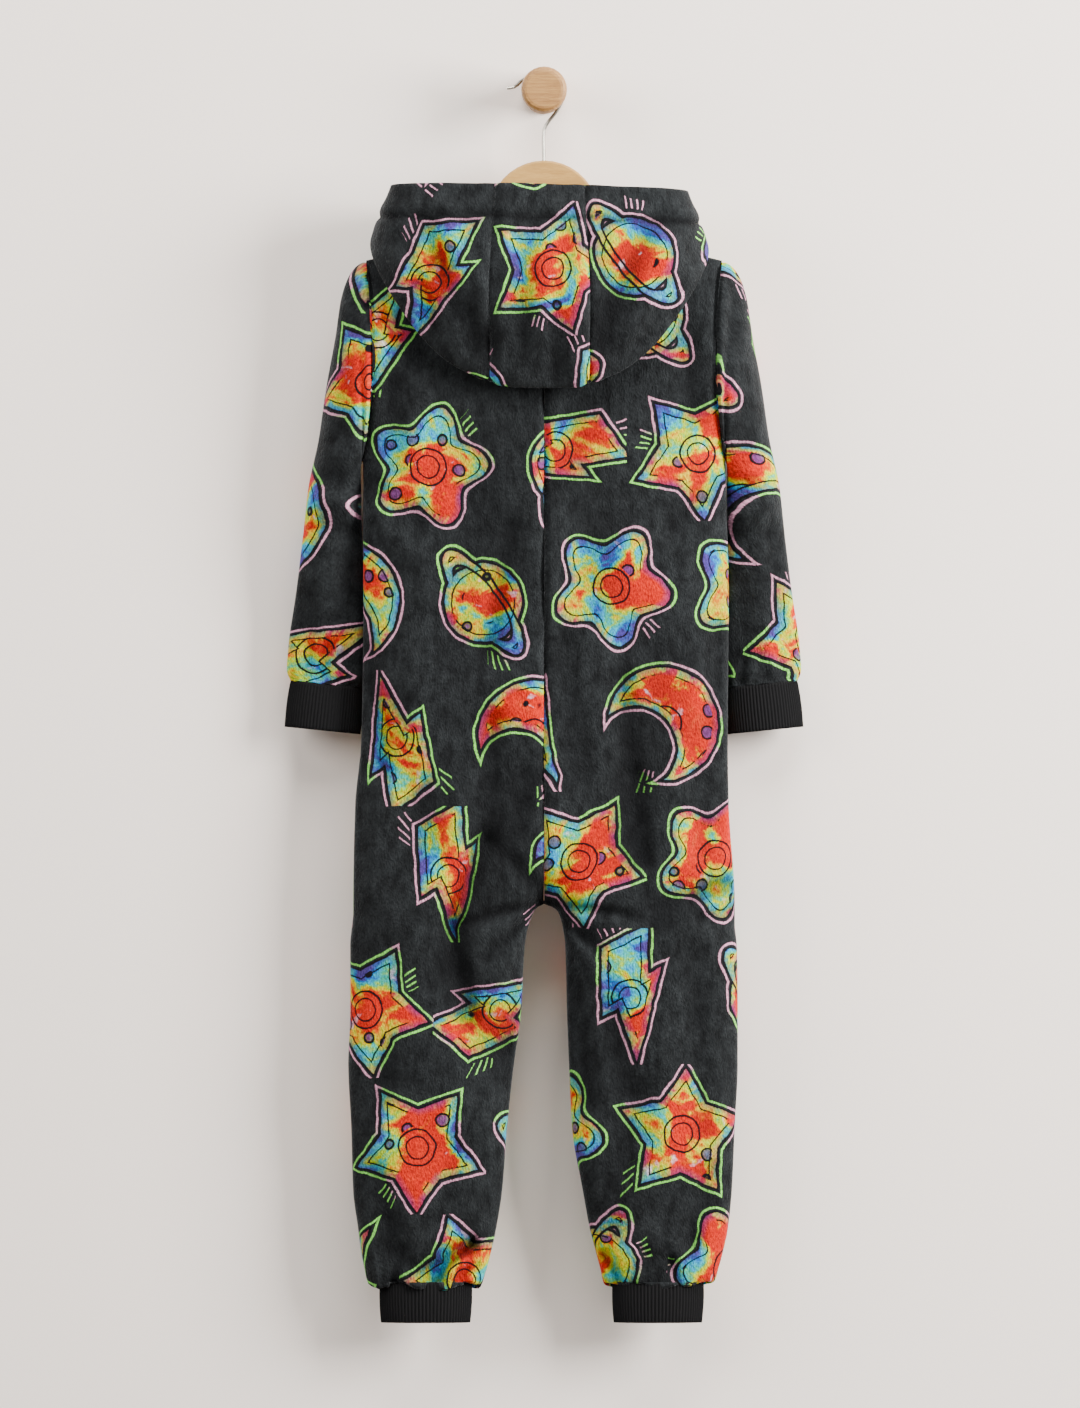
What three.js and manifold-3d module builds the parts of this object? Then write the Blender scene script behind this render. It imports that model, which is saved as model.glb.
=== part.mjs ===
// A child's hooded onesie pajama of plush fleece, hung on a wooden hanger whose wire hook is over a
// round wooden wall peg. The garment's back faces -Y and its zip faces the wall.
// Millimetres, +Z up. The wall is the plane Y = 0 and the origin is the middle of the peg's flat back.
// -X is the wearer's left. Every cloth piece is a closed wall, made from a grid of outer points.
import * as THREE from 'three';
import { mergeVertices } from 'three/addons/utils/BufferGeometryUtils.js';
import Module from 'manifold-3d';

const wasm = await Module();
wasm.setup();

// Driving dimensions of the cloth
const FLEECE = 2.5;
const RIB_KNIT = 2.2;
const SEAM_GAP = 0.3;
const HALF_GAP = SEAM_GAP / 2;

// The body: a flat tube whose middle plane is BODY_Y
const BODY_Y = -46;
const BODY_DEPTH = 34;
const BODY_ROUNDNESS = 2.4;
const UNDERARM_FULLNESS = 0.9;
const UNDERARM_REACH = 60;
const COLUMN_SHARES = [0, 0.06, 0.12, 0.16, 0.19, 0.27, 0.36, 0.46, 0.56, 0.67, 0.78, 0.89, 1];
const NECK_COLUMN = 4;
const LAST_COLUMN = COLUMN_SHARES.length - 1;

// Shoulder, neck and armhole
const SHOULDER_TIP = { x: 178, z: -170 };
const NECK_POINT_Z = -143;
const BACK_NECK_Z = -152;
const FRONT_NECK_Z = -186;
const NECK_HALF_DEPTH = 32;
const RIDGE_DROP = 34;
const UNDERARM = { x: 181, z: -370 };
const ARMHOLE_WAIST_X = 171;
const ARMHOLE_HALF_DEPTH = 30;
const ARMHOLE_STEPS = 10;
const UNDERARM_MITRE = 1.4;

// Crotch and zip
const CROTCH_Z = -814;
const CROTCH_RISE = 110;
const CROTCH_STEPS = 6;
const ZIP_HALF_WIDTH = 5.5;
const ZIP_END_Z = -636;
const ZIP_THICKNESS = 2;

// Heights of the rows of points below the underarm
const TORSO_ROWS = [-378, -430, -484, -538, -590, ZIP_END_Z, ZIP_END_Z - 10];
const LEG_ROWS = [
  -817, -822, -834, -854, -904, -954, -1004,
  -1054, -1104, -1140, -1163, -1177, -1186, -1192,
];
const CROTCH_ROW = ARMHOLE_STEPS + TORSO_ROWS.length + CROTCH_STEPS + 1;
const HEM_Z = LEG_ROWS[LEG_ROWS.length - 1];

// Outline of the body and legs: how far the outer and inner edges are from the middle, and half depth
const OUTLINE = [
  { z: -370, left: 181, right: 181, leftIn: 0, rightIn: 0, depth: 34 },
  { z: -510, left: 181, right: 185, leftIn: 0, rightIn: 0, depth: 34 },
  { z: -650, left: 183, right: 184, leftIn: 0, rightIn: 0, depth: 34 },
  { z: -715, left: 189, right: 185, leftIn: 0, rightIn: 0, depth: 34 },
  { z: -814, left: 191, right: 191, leftIn: 0, rightIn: 0, depth: 33 },
  { z: -817, left: 191, right: 191, leftIn: 6, rightIn: 8, depth: 33 },
  { z: -822, left: 191, right: 191, leftIn: 10, rightIn: 14, depth: 33 },
  { z: -834, left: 192, right: 191, leftIn: 15, rightIn: 18, depth: 32 },
  { z: -854, left: 194, right: 193, leftIn: 19, rightIn: 21, depth: 31 },
  { z: -923, left: 194, right: 194, leftIn: 23, rightIn: 23, depth: 29 },
  { z: -974, left: 196, right: 194, leftIn: 30, rightIn: 25, depth: 28 },
  { z: -1038, left: 193, right: 191, leftIn: 37, rightIn: 28, depth: 27 },
  { z: -1102, left: 191, right: 188, leftIn: 42, rightIn: 39, depth: 26 },
  { z: -1140, left: 186, right: 184, leftIn: 48, rightIn: 46, depth: 25 },
  { z: -1163, left: 183, right: 179, leftIn: 53, rightIn: 52, depth: 25 },
  { z: -1177, left: 180, right: 175, leftIn: 57, rightIn: 56, depth: 24 },
  { z: -1186, left: 176, right: 170, leftIn: 63, rightIn: 60, depth: 22 },
  { z: -1192, left: 166, right: 161, leftIn: 71, rightIn: 67, depth: 17.5 },
];

// The largest soft folds of the body: a trough (below 0) or ridge from one point to another
const BODY_FOLDS = [
  { face: 'back', x0: -95, z0: -880, x1: -28, z1: -990, width: 24, height: -5 },
  { face: 'back', x0: -150, z0: -930, x1: -70, z1: -1040, width: 26, height: 3 },
  { face: 'back', x0: 40, z0: -330, x1: 60, z1: -520, width: 26, height: -3.5 },
  { face: 'back', x0: -60, z0: -350, x1: -80, z1: -560, width: 26, height: -3.5 },
  { face: 'back', x0: 110, z0: -560, x1: 95, z1: -760, width: 28, height: -4 },
  { face: 'back', x0: -20, z0: -690, x1: -50, z1: -810, width: 22, height: -4 },
  { face: 'back', x0: 185, z0: -800, x1: 110, z1: -822, width: 20, height: -4 },
  { face: 'back', x0: 90, z0: -1010, x1: 70, z1: -1130, width: 22, height: -4 },
  { face: 'back', x0: -120, z0: -1175, x1: -75, z1: -1152, width: 14, height: -5 },
  { face: 'front', x0: -90, z0: -300, x1: -75, z1: -520, width: 28, height: -4 },
  { face: 'front', x0: 85, z0: -320, x1: 100, z1: -560, width: 28, height: -4 },
  { face: 'front', x0: -70, z0: -700, x1: -40, z1: -810, width: 22, height: -4 },
  { face: 'front', x0: 95, z0: -840, x1: 60, z1: -1000, width: 24, height: -4 },
  { face: 'front', x0: -110, z0: -900, x1: -95, z1: -1100, width: 24, height: -4 },
];
const SEAM_FOLD_FADE = 14;

// Gathers where the legs are drawn into their cuffs
const GATHERS = 5;
const GATHER_DEPTH = 2;
const GATHER_TOP_Z = -1140;

// Sleeve stations from the armhole to the hem: the ring's outer and inner end, half depth, the Y of its
// middle, and how far its middle bows towards the body
const SLEEVE_STATIONS = [
  { outX: 178, outZ: -170, inX: 181, inZ: -370, depth: 30, y: -46, bow: -8.5 },
  { outX: 188, outZ: -176, inX: 183, inZ: -375, depth: 33, y: -46, bow: -9 },
  { outX: 196, outZ: -187, inX: 184.5, inZ: -380.5, depth: 29.5, y: -45.5, bow: -8 },
  { outX: 203, outZ: -208, inX: 185.5, inZ: -386, depth: 31.5, y: -45, bow: -5.5 },
  { outX: 209, outZ: -247, inX: 186, inZ: -392, depth: 32, y: -43, bow: -2 },
  { outX: 218, outZ: -296, inX: 186, inZ: -399, depth: 30.5, y: -40.5, bow: 0 },
  { outX: 226, outZ: -350, inX: 185.5, inZ: -407, depth: 29, y: -38, bow: 0 },
  { outX: 236, outZ: -397, inX: 184.5, inZ: -420, depth: 27, y: -36, bow: 0 },
  { outX: 242, outZ: -450, inX: 182, inZ: -452, depth: 23.5, y: -32, bow: 0 },
  { outX: 249, outZ: -505, inX: 179, inZ: -505, depth: 20, y: -28, bow: 0 },
  { outX: 256, outZ: -552, inX: 177, inZ: -556, depth: 17.5, y: -25, bow: 0 },
  { outX: 258, outZ: -580, inX: 176.5, inZ: -586, depth: 16.5, y: -23.5, bow: 0 },
  { outX: 255, outZ: -590, inX: 180, inZ: -597.5, depth: 14.5, y: -23, bow: 0 },
];
const SLEEVE_POINTS = 2 * ARMHOLE_STEPS;

// Rib-knit cuffs
const WRIST_CUFF = { length: 47, ribs: 70, flare: 1.5, squeeze: 0.965 };
const ANKLE_CUFF = { length: 41, ribs: 78, flare: -1.5, squeeze: 0.965 };
const RIB_HEIGHT = 0.7;
const RIBS_PER_INNER_POINT = 2;

// Hood: its widest places are shifted a little to the wearer's left
const HOOD_SHIFT = -4.5;
const HOOD_TILT = -0.02;
const HOOD_STRIP_STATION = 2;
const NECK_SEAM_GAP = 0.4;
// Stations from the centre back to the centre front. neck is the share of the half neckline. The hood
// rises from it and leans out over the seam. a is the middle of the layer that lies on the back, fold is
// the pouch's lowest line, out is the outer layer's middle and rim is the face opening's edge.
const HOOD_STATIONS = [
  {
    neck: 0, rise: 6, lean: 2.5,
    a: [0, -91, -225], fold: [0, -97, -300], out: [0, -128, -222], rim: [0, -113, -96],
  },
  {
    neck: 0.125, rise: 6, lean: 2.5,
    a: [26, -91, -224], fold: [27, -97, -299], out: [27, -127, -221], rim: [25, -112.5, -96],
  },
  {
    neck: 0.25, rise: 6, lean: 3,
    a: [47, -90.5, -221], fold: [49.5, -96.5, -294], out: [51, -125, -217], rim: [45, -111.5, -96],
  },
  {
    neck: 0.315, rise: 7, lean: 8,
    a: [66, -90.5, -212], fold: [84, -96, -280], out: [82, -121, -206], rim: [75, -109, -96.5],
  },
  {
    neck: 0.375, rise: 8, lean: 11,
    a: [82, -90, -200], fold: [114, -95, -255], out: [112, -115, -190], rim: [104, -105, -97],
  },
  {
    neck: 0.42, rise: 8, lean: 12,
    a: [98, -89.5, -187], fold: [143, -92, -216], out: [140, -106, -172], rim: [130, -97, -97.5],
  },
  {
    neck: 0.46, rise: 7, lean: 12,
    a: [112, -80, -168], fold: [162, -82, -182], out: [160, -90, -154], rim: [146, -84, -98.5],
  },
  {
    neck: 0.5, rise: 6, lean: 12,
    a: [118, -56, -147], fold: [168, -60, -159], out: [166, -64, -143], rim: [148, -62, -100],
  },
  {
    neck: 0.56, rise: 12, lean: 9,
    a: [116, -36, -145], fold: [160, -38, -155], out: [158, -40, -140], rim: [140, -42, -104],
  },
  {
    neck: 0.625, rise: 18, lean: 7,
    a: [98, -18, -148], fold: [132, -18, -158], out: [132, -20, -142], rim: [118, -26, -112],
  },
  {
    neck: 0.75, rise: 20, lean: 5,
    a: [66, -10, -158], fold: [86, -8.5, -163], out: [88, -10.5, -150], rim: [82, -16, -126],
  },
  {
    neck: 0.875, rise: 10, lean: 2,
    a: [38, -8.5, -170], fold: [48, -8, -168], out: [50, -8.5, -158], rim: [46, -11.5, -142],
  },
  {
    neck: 1, rise: 6, lean: 1,
    a: [8, -8.8, -178], fold: [10, -8.2, -174], out: [11, -8.2, -168], rim: [11, -9, -158],
  },
];
const HOOD_SAMPLES = 13;

// Hanger, hook and peg
const HANGER = {
  y: BODY_Y, thickness: 12, bevel: 2, humpRadius: 55, humpTop: -70, humpSweep: 58,
  below: 5.1, tipX: 164, tipRadius: 8, armX: 90, armHeight: 22, rootX: 45, rootHeight: 16, middleHeight: 14,
};
// The hanger's outline from its hump down through the garment's neck to the start of the arm
const HANGER_NECK = [
  [46.6, -95.9], [50.5, -110], [52.5, -125], [53.5, -138],
  [55, -149], [61, -155.5], [100, -156.1],
];
const HOOK = { wire: 1.75, sides: 8, stemTop: -39, stemDepth: 14, hole: 2.1 };
const PEG = { waist: 18.6, knob: 23, length: 78, foot: 2.5, knobLength: 24, rim: 6 };

// Zip slider and pull
const SLIDER = { width: 9, height: 12, plate: 1.6, z: -204, ear: 1.5, earLength: 5, earGap: 4.2, pin: 0.9 };
const PULL = { width: 7, length: 24, neck: 7, thickness: 1.6, eye: 2.7, hole: 1.35 };
const PIN_COVER = 0.6;

const COLOURS = {
  fleece: 0x2b2e31,
  rib: 0x1f1f21,
  zip: 0x26282b,
  metal: 0xb9b9bc,
  wood: 0xc29c73,
};

function material(colour, roughness, metalness) {
  return new THREE.MeshStandardMaterial({ color: colour, roughness, metalness });
}

const fleeceMaterial = material(COLOURS.fleece, 0.95, 0);
const ribMaterial = material(COLOURS.rib, 0.9, 0);
const zipMaterial = material(COLOURS.zip, 0.7, 0);
const metalMaterial = material(COLOURS.metal, 0.3, 1);
const woodMaterial = material(COLOURS.wood, 0.6, 0);

const onesie = new THREE.Group();

function addPiece(name, geometry, pieceMaterial) {
  const mesh = new THREE.Mesh(geometry, pieceMaterial);
  mesh.name = name;
  onesie.add(mesh);
  return mesh;
}

const radians = THREE.MathUtils.degToRad;
const lerp = THREE.MathUtils.lerp;
const point = (x, y, z) => new THREE.Vector3(x, y, z);

// A power that keeps the sign of its base, for rounded sections
function signedPower(value, power) {
  return Math.sign(value) * Math.abs(value) ** power;
}

// The value of a column of a table at a height, between its rows
function tableAt(table, column, z) {
  let row = 0;
  while (row < table.length - 2 && z < table[row + 1].z) {
    row += 1;
  }
  const above = table[row];
  const below = table[row + 1];
  const share = THREE.MathUtils.clamp((above.z - z) / (above.z - below.z), 0, 1);
  return lerp(above[column], below[column], share);
}

// One closed geometry from points and triangles, turned so that its faces point out
function closedGeometry(points, triangles) {
  let volume = 0;
  const cross = new THREE.Vector3();
  for (const [a, b, c] of triangles) {
    volume += points[a].dot(cross.crossVectors(points[b], points[c]));
  }
  const flat = points.flatMap((p) => [p.x, p.y, p.z]);
  const index = triangles.flatMap(([a, b, c]) => (volume > 0 ? [a, b, c] : [a, c, b]));
  const geometry = new THREE.BufferGeometry();
  geometry.setAttribute('position', new THREE.Float32BufferAttribute(flat, 3));
  geometry.setIndex(index);
  geometry.computeVertexNormals();
  return geometry;
}

// The wall between two grids of the same size. around: each row is a closed ring.
function wallBetween(outer, inner, around) {
  const rows = outer.length;
  const columns = outer[0].length;
  const points = [...outer.flat(), ...inner.flat()];
  const shift = rows * columns;
  const at = (i, j) => i * columns + (j % columns);
  const triangles = [];
  const quad = (a, b, c, d) => triangles.push([a, b, c], [a, c, d]);
  const steps = around ? columns : columns - 1;
  for (let i = 0; i < rows - 1; i += 1) {
    for (let j = 0; j < steps; j += 1) {
      quad(at(i, j), at(i, j + 1), at(i + 1, j + 1), at(i + 1, j));
      quad(shift + at(i, j), shift + at(i + 1, j), shift + at(i + 1, j + 1), shift + at(i, j + 1));
    }
  }
  for (let j = 0; j < steps; j += 1) {
    quad(at(0, j), shift + at(0, j), shift + at(0, j + 1), at(0, j + 1));
    quad(at(rows - 1, j), at(rows - 1, j + 1), shift + at(rows - 1, j + 1), shift + at(rows - 1, j));
  }
  if (!around) {
    for (let i = 0; i < rows - 1; i += 1) {
      quad(at(i, 0), at(i + 1, 0), shift + at(i + 1, 0), shift + at(i, 0));
      const last = columns - 1;
      quad(at(i, last), shift + at(i, last), shift + at(i + 1, last), at(i + 1, last));
    }
  }
  return closedGeometry(points, triangles);
}

// Unit vectors into the cloth at each point of a grid. side is 1 or -1 and says which way is in.
function inwardVectors(grid, around, side) {
  const rows = grid.length;
  const columns = grid[0].length;
  return grid.map((row, i) => row.map((p, j) => {
    const before = around ? row[(j + columns - 1) % columns] : row[Math.max(j - 1, 0)];
    const after = around ? row[(j + 1) % columns] : row[Math.min(j + 1, columns - 1)];
    const up = grid[Math.max(i - 1, 0)][j];
    const down = grid[Math.min(i + 1, rows - 1)][j];
    const across = after.clone().sub(before);
    const along = down.clone().sub(up);
    return across.cross(along).normalize().multiplyScalar(side);
  }));
}

// A vector with one of its components taken out, at its old length
function withinPlane(vector, axis) {
  const length = vector.length();
  const flat = vector.clone();
  flat[axis] = 0;
  return flat.setLength(length);
}

// A wall of the given thickness under a grid. edge(vector, i, j) may turn the vector on a border.
function clothWall(grid, thickness, around, side, edge) {
  const vectors = inwardVectors(grid, around, side);
  const inner = grid.map((row, i) => row.map((p, j) => {
    const vector = edge(vectors[i][j].multiplyScalar(thickness), i, j);
    return p.clone().add(vector);
  }));
  return wallBetween(grid, inner, around);
}

// Angles of the armhole's points, from the shoulder tip (90) down to the underarm (-90)
function armholeAngle(i) {
  return radians(90 - (180 * i) / ARMHOLE_STEPS);
}

function armholeX(i) {
  const share = i / ARMHOLE_STEPS;
  const straight = lerp(SHOULDER_TIP.x, UNDERARM.x, share);
  return straight + (ARMHOLE_WAIST_X - (SHOULDER_TIP.x + UNDERARM.x) / 2) * Math.cos(armholeAngle(i)) ** 2;
}

// The vector into the cloth along the armhole seam, which the body and the sleeve share
function armholeInward(i, face) {
  const angle = armholeAngle(i);
  const halfHeight = (SHOULDER_TIP.z - UNDERARM.z) / 2;
  const inward = point(0, (-face * Math.cos(angle)) / ARMHOLE_HALF_DEPTH, -Math.sin(angle) / halfHeight);
  const mitre = i === ARMHOLE_STEPS ? UNDERARM_MITRE : 1;
  return inward.setLength(FLEECE * mitre);
}

// How far a soft fold moves the cloth out (or in) at a place of the front or back
function foldHeight(face, x, z) {
  const name = face < 0 ? 'back' : 'front';
  let height = 0;
  for (const fold of BODY_FOLDS.filter((row) => row.face === name)) {
    const dx = fold.x1 - fold.x0;
    const dz = fold.z1 - fold.z0;
    const along = ((x - fold.x0) * dx + (z - fold.z0) * dz) / (dx * dx + dz * dz);
    const held = THREE.MathUtils.clamp(along, 0, 1);
    const distance = Math.hypot(x - fold.x0 - held * dx, z - fold.z0 - held * dz);
    height += fold.height * Math.exp(-((distance / fold.width) ** 2));
  }
  return height;
}

// The place of a body point. side: -1 left, 1 right. face: -1 back, 1 front.
// Half depth goes through the folds and never comes nearer the seam plane than half a gap.
function bodyPoint(side, face, x, halfDepth, z, leastX) {
  const px = side * Math.max(x, leastX);
  const fade = Math.min(1, halfDepth / SEAM_FOLD_FADE);
  const depth = Math.max(halfDepth + fade * foldHeight(face, px, z), HALF_GAP);
  return point(px, BODY_Y + face * depth, z);
}

// Half the gap between the two panels of a face at a height
function centreGap(face, z) {
  return face > 0 && z >= ZIP_END_Z ? ZIP_HALF_WIDTH + HALF_GAP : HALF_GAP;
}

// How boxy a section is at a height: fuller just by the underarm, where the sleeves are set in
function bodyRoundness(z) {
  return BODY_ROUNDNESS + UNDERARM_FULLNESS * Math.exp(-(((z - UNDERARM.z) / UNDERARM_REACH) ** 2));
}

// The share of the full depth at a share of the half width
function depthShare(share, roundness) {
  return Math.max(0, 1 - Math.abs(share) ** roundness) ** (1 / roundness);
}

// Shares of the half width where a section is sampled
function columnShare(j) {
  return Math.sin(radians(90 * COLUMN_SHARES[j])) ** (2 / BODY_ROUNDNESS);
}

// The top edge: the neckline up to the neck point, then the shoulder line down to its tip
function topEdgeZ(face, share) {
  const neckShare = columnShare(NECK_COLUMN);
  const centreZ = face > 0 ? FRONT_NECK_Z : BACK_NECK_Z;
  if (share <= neckShare) {
    const turn = 1 - Math.sqrt(1 - Math.min(1, share / neckShare) ** 2);
    return lerp(centreZ, NECK_POINT_Z, turn);
  }
  return lerp(NECK_POINT_Z, SHOULDER_TIP.z, (share - neckShare) / (1 - neckShare));
}

function neckHalfDepth(share) {
  const ratio = Math.min(1, share / columnShare(NECK_COLUMN));
  return NECK_HALF_DEPTH * Math.sqrt(1 - ratio ** 2);
}

// A row of points between the top edge and the underarm
function shoulderRow(side, face, i) {
  const angle = armholeAngle(i);
  const fall = (1 - Math.sin(angle)) / 2;
  const drop = fall * (SHOULDER_TIP.z - UNDERARM.z);
  const arch = Math.sqrt(1 - (1 - Math.min(1, drop / RIDGE_DROP)) ** 2);
  const reach = armholeX(i);
  const roundness = bodyRoundness(lerp(SHOULDER_TIP.z, UNDERARM.z, fall));
  const atArmhole = ARMHOLE_HALF_DEPTH * Math.cos(angle);
  return COLUMN_SHARES.map((unused, j) => {
    const share = columnShare(j);
    const z = lerp(topEdgeZ(face, share), UNDERARM.z, fall);
    const flat = depthShare(share, roundness);
    const neck = neckHalfDepth(share);
    const middle = neck + (BODY_DEPTH - neck) * arch;
    const halfDepth = atArmhole * (1 - flat) + middle * flat;
    const x = j === LAST_COLUMN ? reach - HALF_GAP : reach * share;
    return bodyPoint(side, face, x, i === 0 ? neck : halfDepth, z, centreGap(face, z));
  });
}

// A row of points below the underarm. start is the angle of the section's inner end: 90 on the torso,
// where the section ends at the middle plane, down to 0 on the leg, where it closes on itself.
function lowerRow(side, face, z, start) {
  const sideName = side < 0 ? 'left' : 'right';
  const outer = tableAt(OUTLINE, sideName, z);
  const inner = tableAt(OUTLINE, `${sideName}In`, z);
  const depth = tableAt(OUTLINE, 'depth', z);
  const power = 2 / BODY_ROUNDNESS;
  const innerReach = signedPower(Math.cos(radians(start)), power);
  const halfWidth = (outer - inner) / (1 + innerReach);
  const middle = outer - halfWidth;
  const gathered = THREE.MathUtils.clamp((GATHER_TOP_Z - z) / (GATHER_TOP_Z - HEM_Z), 0, 1) ** 2;
  return COLUMN_SHARES.map((share, j) => {
    const angle = radians(start + (180 - start) * share);
    const x = middle - halfWidth * signedPower(Math.cos(angle), power);
    const pucker = 1 - Math.cos(2 * GATHERS * angle);
    const seamFree = Math.sin(angle) ** 0.5;
    const drawn = z > HEM_Z ? gathered * GATHER_DEPTH * pucker * seamFree : 0;
    const halfDepth = depth * depthShare((x - middle) / halfWidth, bodyRoundness(z)) - drawn;
    const least = start > 0 && j === 0 ? centreGap(face, z) : 0;
    return bodyPoint(side, face, x, j === LAST_COLUMN ? 0 : halfDepth, z, least);
  });
}

// All rows of one panel, from the shoulder to the ankle
function bodyGrid(side, face) {
  const grid = [];
  for (let i = 0; i <= ARMHOLE_STEPS; i += 1) {
    grid.push(shoulderRow(side, face, i));
  }
  for (const z of TORSO_ROWS) {
    grid.push(lowerRow(side, face, z, 90));
  }
  for (let k = 0; k <= CROTCH_STEPS; k += 1) {
    const turn = radians((90 * k) / CROTCH_STEPS);
    const start = 90 * Math.cos(turn);
    const z = CROTCH_Z + CROTCH_RISE * (1 - Math.sin(turn));
    grid.push(lowerRow(side, face, z, start));
  }
  for (const z of LEG_ROWS) {
    grid.push(lowerRow(side, face, z, 0));
  }
  // The panel's corner at the crotch keeps half a gap to both seam planes
  const crotch = grid[CROTCH_ROW][0];
  crotch.x = side * HALF_GAP;
  return grid;
}

// The vector into the cloth along the neck seam, which the body and the hood share: level at the
// centre back and sloping down towards the neck point
function neckInward(p) {
  const reach = SHOULDER_TIP.x * columnShare(NECK_COLUMN);
  const inward = point(-p.x / reach ** 2, -(p.y - BODY_Y) / NECK_HALF_DEPTH ** 2, 0).normalize();
  inward.z = -(Math.min(1, Math.abs(p.x) / reach) ** 2);
  return inward.normalize();
}

// Which way the cloth's thickness runs on the edges of a body panel
function bodyEdge(side, face, grid) {
  const lastRow = grid.length - 1;
  return (vector, i, j) => {
    if (i === 0 && j <= NECK_COLUMN) {
      const inward = neckInward(grid[0][j]);
      return (j === 0 ? withinPlane(inward, 'x') : inward).setLength(FLEECE);
    }
    if (j === LAST_COLUMN && i <= ARMHOLE_STEPS) {
      return armholeInward(i, face);
    }
    if (i === 0 || j === LAST_COLUMN) {
      return withinPlane(vector, 'y');
    }
    if (i === CROTCH_ROW && j === 0) {
      return point(side, 0, 1).setLength(FLEECE * UNDERARM_MITRE);
    }
    if (j === 0) {
      const seamVector = withinPlane(vector, i < CROTCH_ROW ? 'x' : 'y');
      return i === lastRow ? withinPlane(seamVector, 'z') : seamVector;
    }
    return i === lastRow ? withinPlane(vector, 'z') : vector;
  };
}

const panelGrids = {};

function addBodyPanel(name, side, face) {
  const grid = bodyGrid(side, face);
  panelGrids[name] = grid;
  const geometry = clothWall(grid, FLEECE, false, -side * face, bodyEdge(side, face, grid));
  addPiece(name, geometry, fleeceMaterial);
}

addBodyPanel('back_left', -1, -1);
addBodyPanel('back_right', 1, -1);
addBodyPanel('front_left', -1, 1);
addBodyPanel('front_right', 1, 1);

// A sleeve: rings from the armhole to the hem, each an oval between its outer and inner end
function sleeveGrid(side) {
  return SLEEVE_STATIONS.map((station, k) => {
    const ring = [];
    for (let j = 0; j < SLEEVE_POINTS; j += 1) {
      const face = j < ARMHOLE_STEPS ? -1 : 1;
      const angle = radians(90 - (360 * j) / SLEEVE_POINTS);
      const share = (1 - Math.sin(angle)) / 2;
      let x = lerp(station.outX, station.inX, share);
      let bow = station.bow;
      if (k === 0) {
        const step = j <= ARMHOLE_STEPS ? j : SLEEVE_POINTS - j;
        x = armholeX(step) + HALF_GAP;
        bow = 0;
      }
      x += bow * Math.cos(angle) ** 2;
      const z = lerp(station.outZ, station.inZ, share);
      const y = station.y + face * station.depth * Math.abs(Math.cos(angle));
      ring.push(point(side * x, y, z));
    }
    return ring;
  });
}

function addSleeve(name, side) {
  const grid = sleeveGrid(side);
  const lastRow = grid.length - 1;
  const hemDown = grid[lastRow][ARMHOLE_STEPS].clone().sub(grid[lastRow][0]);
  const hemNormal = hemDown.cross(point(0, 1, 0)).normalize();
  const edge = (vector, i, j) => {
    if (i === 0) {
      const step = j <= ARMHOLE_STEPS ? j : SLEEVE_POINTS - j;
      return armholeInward(step, j < ARMHOLE_STEPS ? -1 : 1);
    }
    if (i === lastRow) {
      return vector.clone().addScaledVector(hemNormal, -vector.dot(hemNormal)).setLength(FLEECE);
    }
    return vector;
  };
  addPiece(name, clothWall(grid, FLEECE, true, -side, edge), fleeceMaterial);
}

addSleeve('sleeve_left', -1);
addSleeve('sleeve_right', 1);

// A cuff: ribs on its outer points over a plain inside. at(angle, share, push) gives a point of its
// outer surface at a share of its length, pushed out of the oval by a distance.
function cuffGeometry(cuff, at) {
  const ribPoints = 2 * cuff.ribs;
  const innerPoints = cuff.ribs / RIBS_PER_INNER_POINT;
  const perInner = ribPoints / innerPoints;
  const points = [];
  for (const share of [0, 1]) {
    for (let j = 0; j < ribPoints; j += 1) {
      const push = j % 2 === 0 ? RIB_HEIGHT / 2 : -RIB_HEIGHT / 2;
      points.push(at((2 * Math.PI * j) / ribPoints, share, push));
    }
  }
  for (const share of [0, 1]) {
    for (let j = 0; j < innerPoints; j += 1) {
      points.push(at((2 * Math.PI * j) / innerPoints, share, -RIB_KNIT));
    }
  }
  const outerAt = (row, j) => row * ribPoints + (j % ribPoints);
  const innerAt = (row, j) => 2 * ribPoints + row * innerPoints + (j % innerPoints);
  const triangles = [];
  for (let j = 0; j < ribPoints; j += 1) {
    triangles.push([outerAt(0, j), outerAt(1, j), outerAt(1, j + 1)]);
    triangles.push([outerAt(0, j), outerAt(1, j + 1), outerAt(0, j + 1)]);
    const near = Math.floor((j + perInner / 2) / perInner);
    triangles.push([outerAt(0, j), outerAt(0, j + 1), innerAt(0, near)]);
    triangles.push([outerAt(1, j + 1), outerAt(1, j), innerAt(1, near)]);
    const next = Math.floor((j + 1 + perInner / 2) / perInner);
    if (next !== near) {
      triangles.push([outerAt(0, j + 1), innerAt(0, next), innerAt(0, near)]);
      triangles.push([outerAt(1, j + 1), innerAt(1, near), innerAt(1, next)]);
    }
  }
  for (let j = 0; j < innerPoints; j += 1) {
    triangles.push([innerAt(0, j), innerAt(1, j + 1), innerAt(1, j)]);
    triangles.push([innerAt(0, j), innerAt(0, j + 1), innerAt(1, j + 1)]);
  }
  return closedGeometry(points, triangles);
}

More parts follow.
